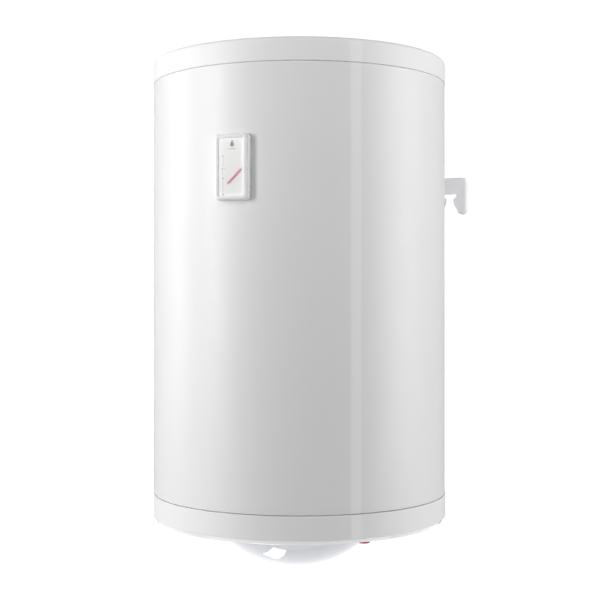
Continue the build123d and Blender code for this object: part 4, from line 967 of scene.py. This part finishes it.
@dataclass
class WaterPipe(SubAssembly):
    """One pipe that leaves the bottom: tube, thread and ribbed plug."""

    pipe_node: str
    plug_node: str
    plug_finish: Finish
    name: str
    outer: float = 10.2 * MM
    bore: float = 8.0 * MM
    crest: float = 10.48 * MM
    root: float = 9.35 * MM
    pitch: float = 1.814 * MM
    lead: float = 0.8 * MM
    mouth: float = 0.6 * MM
    crest_span: tuple[float, float] = (0.4, 0.6)
    turns: int = 11
    ribs: int = 20
    rib_depth: float = 0.45 * MM
    head_round: float = 1.6 * MM
    dish: float = 0.5 * MM
    dish_rim: tuple[float, float] = (3.6 * MM, 3.2 * MM)
    rib_band: float = 0.9 * MM
    rib_edge: float = 0.12 * MM
    steep: float = 0.8
    stem_fit: float = 0.15 * MM
    stem_taper: float = 0.4 * MM

    def __post_init__(self) -> None:
        """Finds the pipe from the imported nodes."""
        self.low, self.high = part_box(self.pipe_node)
        middle = (self.low + self.high) / 2
        self.axis = (middle.x, middle.y)
        self.plug_low, self.plug_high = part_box(self.plug_node)

    def build(self) -> None:
        """Builds and dresses the tube, the thread and the plug."""
        self.dress(self.tube(), ZINC, self.pipe_node)
        self.dress(self.thread(), ZINC)
        self.dress(self.plug(), self.plug_finish, self.plug_node)

    def tube(self) -> bpy.types.Object:
        """Turns the tube, thinner inside its thread.

        Returns:
            The finished piece.
        """
        low, high = self.low.z, self.high.z
        neck = low + self.pitch * self.turns
        outline = [(self.bore, low), (self.root - self.mouth, low), (self.root, low + self.lead),
                   (self.root, neck), (self.outer, neck + self.lead), (self.outer, high), (self.bore, high)]
        return turned(f"{self.name}_pipe_tube", outline, self.axis, steps=64)

    def thread(self) -> bpy.types.Object:
        """Rolls the helical thread with a screw modifier.

        Returns:
            The finished piece.
        """
        start = self.low.z + self.mouth
        outline = [(self.root, start)]
        for turn in range(self.turns - 1):
            base = start + turn * self.pitch
            outline += [(self.crest, base + share * self.pitch) for share in self.crest_span]
            outline.append((self.root, base + self.pitch))
        piece = draw_line(outline, self.axis, False)
        bpy.ops.object.mode_set(mode="OBJECT")
        settle(piece, "thread")
        bpy.ops.object.origin_set(type="ORIGIN_CURSOR")
        shift = Vector((self.axis[0], self.axis[1], 0.0))
        edit(piece)
        bpy.ops.transform.translate(value=-shift)
        bpy.ops.object.mode_set(mode="OBJECT")
        bpy.ops.object.modifier_add(type="SCREW")
        screw = piece.modifiers[-1]
        screw.angle, screw.screw_offset = math.tau, self.pitch
        screw.steps = screw.render_steps = 48
        bpy.ops.object.modifier_apply(modifier=screw.name)
        edit(piece)
        bpy.ops.mesh.remove_doubles(threshold=MERGE)
        bpy.ops.mesh.select_all(action="SELECT")
        bpy.ops.mesh.fill_holes(sides=0)
        bpy.ops.mesh.select_all(action="SELECT")
        bpy.ops.transform.translate(value=shift)
        close_edit()
        return settle(piece, f"{self.name}_pipe_thread", smooth=50.0)

    def plug(self) -> bpy.types.Object:
        """Moulds the push-in plug: a ribbed head with a dished face, and a stem.

        Returns:
            The finished piece.
        """
        low, high = self.plug_low.z, self.plug_high.z
        head = (self.plug_high.x - self.plug_low.x) / 2
        face = self.low.z
        stem = self.bore - self.stem_fit
        inner, outer = self.dish_rim
        outline = [(0.0, low + self.dish), (head - inner, low + self.dish), (head - outer, low)]
        outline += arc((head - self.head_round, low + self.head_round), self.head_round, -90.0, 0.0, 6)
        outline += [(head, face), (stem, face), (stem - self.stem_taper, high), (0.0, high)]
        piece = turned(f"{self.name}_pipe_cap", outline, self.axis, 4 * self.ribs, closed=False)
        edit(piece)
        step = math.tau / self.ribs

        def in_groove(at: Vector, normal: Vector) -> bool:
            """Tells whether a side face lies in a groove between two ribs.

            Args:
                at: The face's middle.
                normal: The face's normal.

            Returns:
                Whether it does.
            """
            turn = math.atan2(at.y - self.axis[1], at.x - self.axis[0]) % step
            side = math.hypot(at.x - self.axis[0], at.y - self.axis[1])
            upright = abs(normal.z) < self.steep and at.z < face
            return upright and side > head - self.rib_band and turn < step / 2

        pick(piece, "FACE", in_groove)
        bpy.ops.mesh.inset(thickness=self.rib_edge)
        bpy.ops.transform.shrink_fatten(value=-self.rib_depth)
        close_edit()
        return settle(piece, f"{self.name}_pipe_cap", smooth=30.0)


@dataclass
class ControlPrint(SubAssembly):
    """Plain marks round the knob, and the pointer on it."""

    depth: float = 0.12 * MM
    ease: float = 0.3
    radius: float = 160.0 * MM
    count: int = 11
    step: float = -27.0
    room: float = 3.5 * MM
    shortest: float = 1.6 * MM
    growth: float = 0.32 * MM
    mark_width: float = 1.1 * MM
    pointer_width: float = 1.6 * MM
    pointer_reach: tuple[float, float] = (14.0 * MM, 29.0 * MM)

    def __post_init__(self) -> None:
        """Finds the cover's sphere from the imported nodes."""
        low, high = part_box("thermostat_knob")
        self.knob_radius = (high.x - low.x) / 2
        self.centre = Vector((0.0, (low.y + high.y) / 2, low.z + self.radius))

    def build(self) -> None:
        """Builds and dresses the scale on the cover and the pointer on the knob."""
        self.dress(self.marks(), COVER_INK)
        self.dress(self.pointer(), COVER_INK, body="knob")

    def stick(self, turn: float, first: float, last: float, wide: float) -> bpy.types.Object:
        """Lays one radial mark on the sphere.

        Args:
            turn: Its angle about the knob, in degrees from the front.
            first: Distance of its inner end from the knob's axis.
            last: Distance of its outer end.
            wide: Its width.

        Returns:
            The mark.
        """
        clear_selection()
        middle = (first + last) / 2
        drop = math.sqrt(self.radius**2 - middle**2)
        lean = math.asin(middle / self.radius)
        bpy.ops.mesh.primitive_cube_add(size=1.0, location=(0.0, 0.0, 0.0))
        piece = bpy.context.active_object
        piece.scale = (wide, last - first, self.depth)
        bpy.ops.object.transform_apply(location=True, rotation=True, scale=True)
        edit(piece)
        bpy.ops.mesh.bevel(affect="EDGES", offset=self.depth * self.ease, segments=2)
        close_edit()
        spread = Matrix.Rotation(math.radians(turn), 4, "Z")
        tilt = Matrix.Rotation(-lean, 4, "X")
        piece.matrix_world = (Matrix.Translation(self.centre) @ spread
                              @ Matrix.Translation((0.0, -middle, -drop)) @ tilt)
        return settle(piece, "mark")

    def marks(self) -> bpy.types.Object:
        """Lays the scale round the knob, with marks that grow.

        Returns:
            The finished piece.
        """
        start = self.knob_radius + self.room
        sticks = []
        for number in range(self.count):
            end = start + self.shortest + self.growth * number
            sticks.append(self.stick(self.step * number, start, end, self.mark_width))
        return joined("cover_scale", sticks)

    def pointer(self) -> bpy.types.Object:
        """Lays the pointer line on the knob's bar.

        Returns:
            The finished piece.
        """
        piece = self.stick(0.0, *self.pointer_reach, self.pointer_width)
        piece.name = piece.data.name = "knob_pointer"
        return piece


def dress_frame() -> None:
    """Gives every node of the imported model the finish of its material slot."""
    for name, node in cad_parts.items():
        for number, slot in enumerate(node.material_slots):
            old = slot.material.name.split(".")[0] if slot.material else "none"
            finish = BRACKET_PAINT if name == "wall_bracket" else FINISHES.get(old)
            LOG.info("%s slot %d %s", name, number, old)
            if finish is not None:
                slot.material = finish.material()


@dataclass(frozen=True)
class Lamp:
    """One soft rectangular light.

    Attributes:
        name: Name of the light.
        turn: Its angle from the camera's heading, in degrees to the right.
        size: Its two sides.
        power: Power in watts.
    """

    name: str
    turn: float
    size: tuple[float, float]
    power: float

    def hang(self, place: Vector, turn: Euler) -> None:
        """Adds the light to the scene, out of the camera's sight.

        Args:
            place: Its middle.
            turn: Its rotation.
        """
        source = bpy.data.lights.new(self.name, "AREA")
        source.shape = "RECTANGLE"
        source.size, source.size_y = self.size
        source.energy = self.power
        light = bpy.data.objects.new(self.name, source)
        light.location = place
        light.rotation_euler = turn
        light.visible_camera = False
        bpy.context.scene.collection.objects.link(light)

    def light(self, studio: "Studio") -> None:
        """Places the light in a studio.

        Args:
            studio: The studio that it belongs to.
        """
        raise NotImplementedError


@dataclass(frozen=True)
class Softbox(Lamp):
    """A light that hangs round the heater and faces it.

    Attributes:
        away: Its distance from the heater's axis.
        height: Its height above the point that it faces.
    """

    away: float
    height: float

    def light(self, studio: "Studio") -> None:
        """Hangs the light so that it faces the heater.

        Args:
            studio: The studio that it belongs to.
        """
        way = math.radians(studio.heading + self.turn)
        aim = Vector(studio.aim)
        place = aim + Vector((math.sin(way) * self.away, -math.cos(way) * self.away, self.height))
        self.hang(place, (aim - place).to_track_quat("-Z", "Y").to_euler())


@dataclass(frozen=True)
class Panel(Lamp):
    """A light that lies under the heater and faces up.

    Attributes:
        spot: Its middle, seen from above.
    """

    spot: tuple[float, float]

    def light(self, studio: "Studio") -> None:
        """Lays the light under the heater.

        Args:
            studio: The studio that it belongs to.
        """
        turn = Euler((math.pi, 0.0, math.radians(studio.heading + self.turn)))
        self.hang(Vector((*self.spot, studio.panel_level)), turn)


LAMPS: tuple[Lamp, ...] = (
    Softbox("key_light", -64.0, (0.6, 1.5), 30.0, away=2.2, height=0.42),
    Softbox("side_light", -100.0, (0.8, 1.6), 15.0, away=2.2, height=0.4),
    Softbox("top_light", 12.0, (1.0, 0.6), 8.0, away=1.5, height=1.4),
    Softbox("back_light", 180.0, (1.6, 1.2), 12.0, away=2.4, height=0.6),
    Panel("low_panel", 9.4, (0.055, 0.16), 0.24, spot=(-0.091, -0.234)),
    Panel("under_light", 0.0, (0.62, 0.30), 0.42, spot=(0.085, -0.42)),
    Softbox("fill_light", 80.0, (1.4, 1.8), 32.5, away=2.2, height=0.32),
)


@dataclass
class Studio:
    """Plain pale floor, soft lights and the camera.

    Attributes:
        heading: Turn of the camera about the vertical, in degrees to the right of the front.
        spot: Place of the camera.
        lens: Focal length, in millimetres.
        sensor: Width of the sensor, in millimetres.
        sight: How far the camera sees.
        shift: Sideways and upward shift of the lens.
        aim: The point that the softboxes face.
        room_light: Strength of the even light in the room.
        backdrop: Brightness of the white behind the heater.
        floor_level: Height of the floor.
        floor_size: Length of its sides.
        floor_tone: Linear tone of the floor, as diffuse light sees it.
        floor_gloss: Roughness of the floor.
        floor_light: Brightness of the floor, as the camera and reflections see it.
        panel_level: Height of the panels that light the underside.
    """

    heading: float = 24.5
    spot: tuple[float, float, float] = (0.7896, -1.9665, -0.1616)
    lens: float = 72.5
    sensor: float = 36.0
    sight: float = 50.0
    shift: tuple[float, float] = (0.0008, -0.0113)
    aim: tuple[float, float, float] = (0.0, -0.234, -0.15)
    room_light: float = 0.14
    backdrop: float = 1.05
    floor_level: float = -3.0
    floor_size: float = 16.0
    floor_tone: float = 0.42
    floor_gloss: float = 0.9
    floor_light: float = 1.02
    panel_level: float = -0.78

    def build(self) -> None:
        """Sets up the camera, the world, the floor and the lights."""
        bpy.context.scene.view_settings.view_transform = "Standard"
        self._camera()
        self._world()
        self._floor()
        for lamp in LAMPS:
            lamp.light(self)

    def _camera(self) -> None:
        """Places the camera level, at the viewing angle."""
        lens = bpy.data.cameras.new("camera")
        lens.lens = self.lens
        lens.sensor_width = self.sensor
        lens.shift_x, lens.shift_y = self.shift
        lens.clip_end = self.sight
        camera = bpy.data.objects.new("camera", lens)
        camera.location = self.spot
        camera.rotation_euler = (math.pi / 2, 0.0, math.radians(self.heading))
        bpy.context.scene.collection.objects.link(camera)
        bpy.context.scene.camera = camera

    def _world(self) -> None:
        """Lights the room evenly and shows plain white behind the heater."""
        world = bpy.data.worlds.new("studio")
        bpy.context.scene.world = world
        world.use_nodes = True
        tree = world.node_tree
        seen = tree.nodes.new("ShaderNodeLightPath")
        room = tree.nodes["Background"]
        white = tree.nodes.new("ShaderNodeBackground")
        for node, strength in ((room, self.room_light), (white, self.backdrop)):
            node.inputs["Color"].default_value = WHITE
            node.inputs["Strength"].default_value = strength
        mix = tree.nodes.new("ShaderNodeMixShader")
        tree.links.new(seen.outputs["Is Camera Ray"], mix.inputs[0])
        tree.links.new(room.outputs[0], mix.inputs[1])
        tree.links.new(white.outputs[0], mix.inputs[2])
        tree.links.new(mix.outputs[0], tree.nodes["World Output"].inputs["Surface"])

    def _floor(self) -> None:
        """Lays a wide pale floor under the heater."""
        clear_selection()
        bpy.ops.mesh.primitive_plane_add(size=self.floor_size, location=self.floor_level * UP)
        floor = bpy.context.active_object
        floor.name = "studio_floor"
        material = bpy.data.materials.new("studio_floor")
        material.use_nodes = True
        tree = material.node_tree
        shader = tree.nodes["Principled BSDF"]
        shader.inputs["Base Color"].default_value = (*3 * (self.floor_tone,), 1.0)
        shader.inputs["Roughness"].default_value = self.floor_gloss
        lit = tree.nodes.new("ShaderNodeEmission")
        lit.inputs["Strength"].default_value = self.floor_light
        seen = tree.nodes.new("ShaderNodeLightPath")
        mix = tree.nodes.new("ShaderNodeMixShader")
        tree.links.new(seen.outputs["Is Diffuse Ray"], mix.inputs[0])
        tree.links.new(lit.outputs[0], mix.inputs[1])
        tree.links.new(shader.outputs[0], mix.inputs[2])
        tree.links.new(mix.outputs[0], tree.nodes["Material Output"].inputs["Surface"])
        floor.data.materials.append(material)


def main() -> None:
    """Builds everything in order."""
    logging.basicConfig(level=logging.INFO, format="%(message)s")
    Studio().build()
    dress_frame()
    assemblies = (
        Casing(), Thermometer(),
        WaterPipe("hot_outlet_pipe", "hot_pipe_plug", HOT_RED, "hot"),
        WaterPipe("cold_inlet_pipe", "cold_pipe_plug", COLD_BLUE, "cold"),
        ControlPrint(),
    )
    for assembly in assemblies:
        LOG.info("%s", type(assembly).__name__)
        assembly.build()


if __name__ == "__main__":
    main()
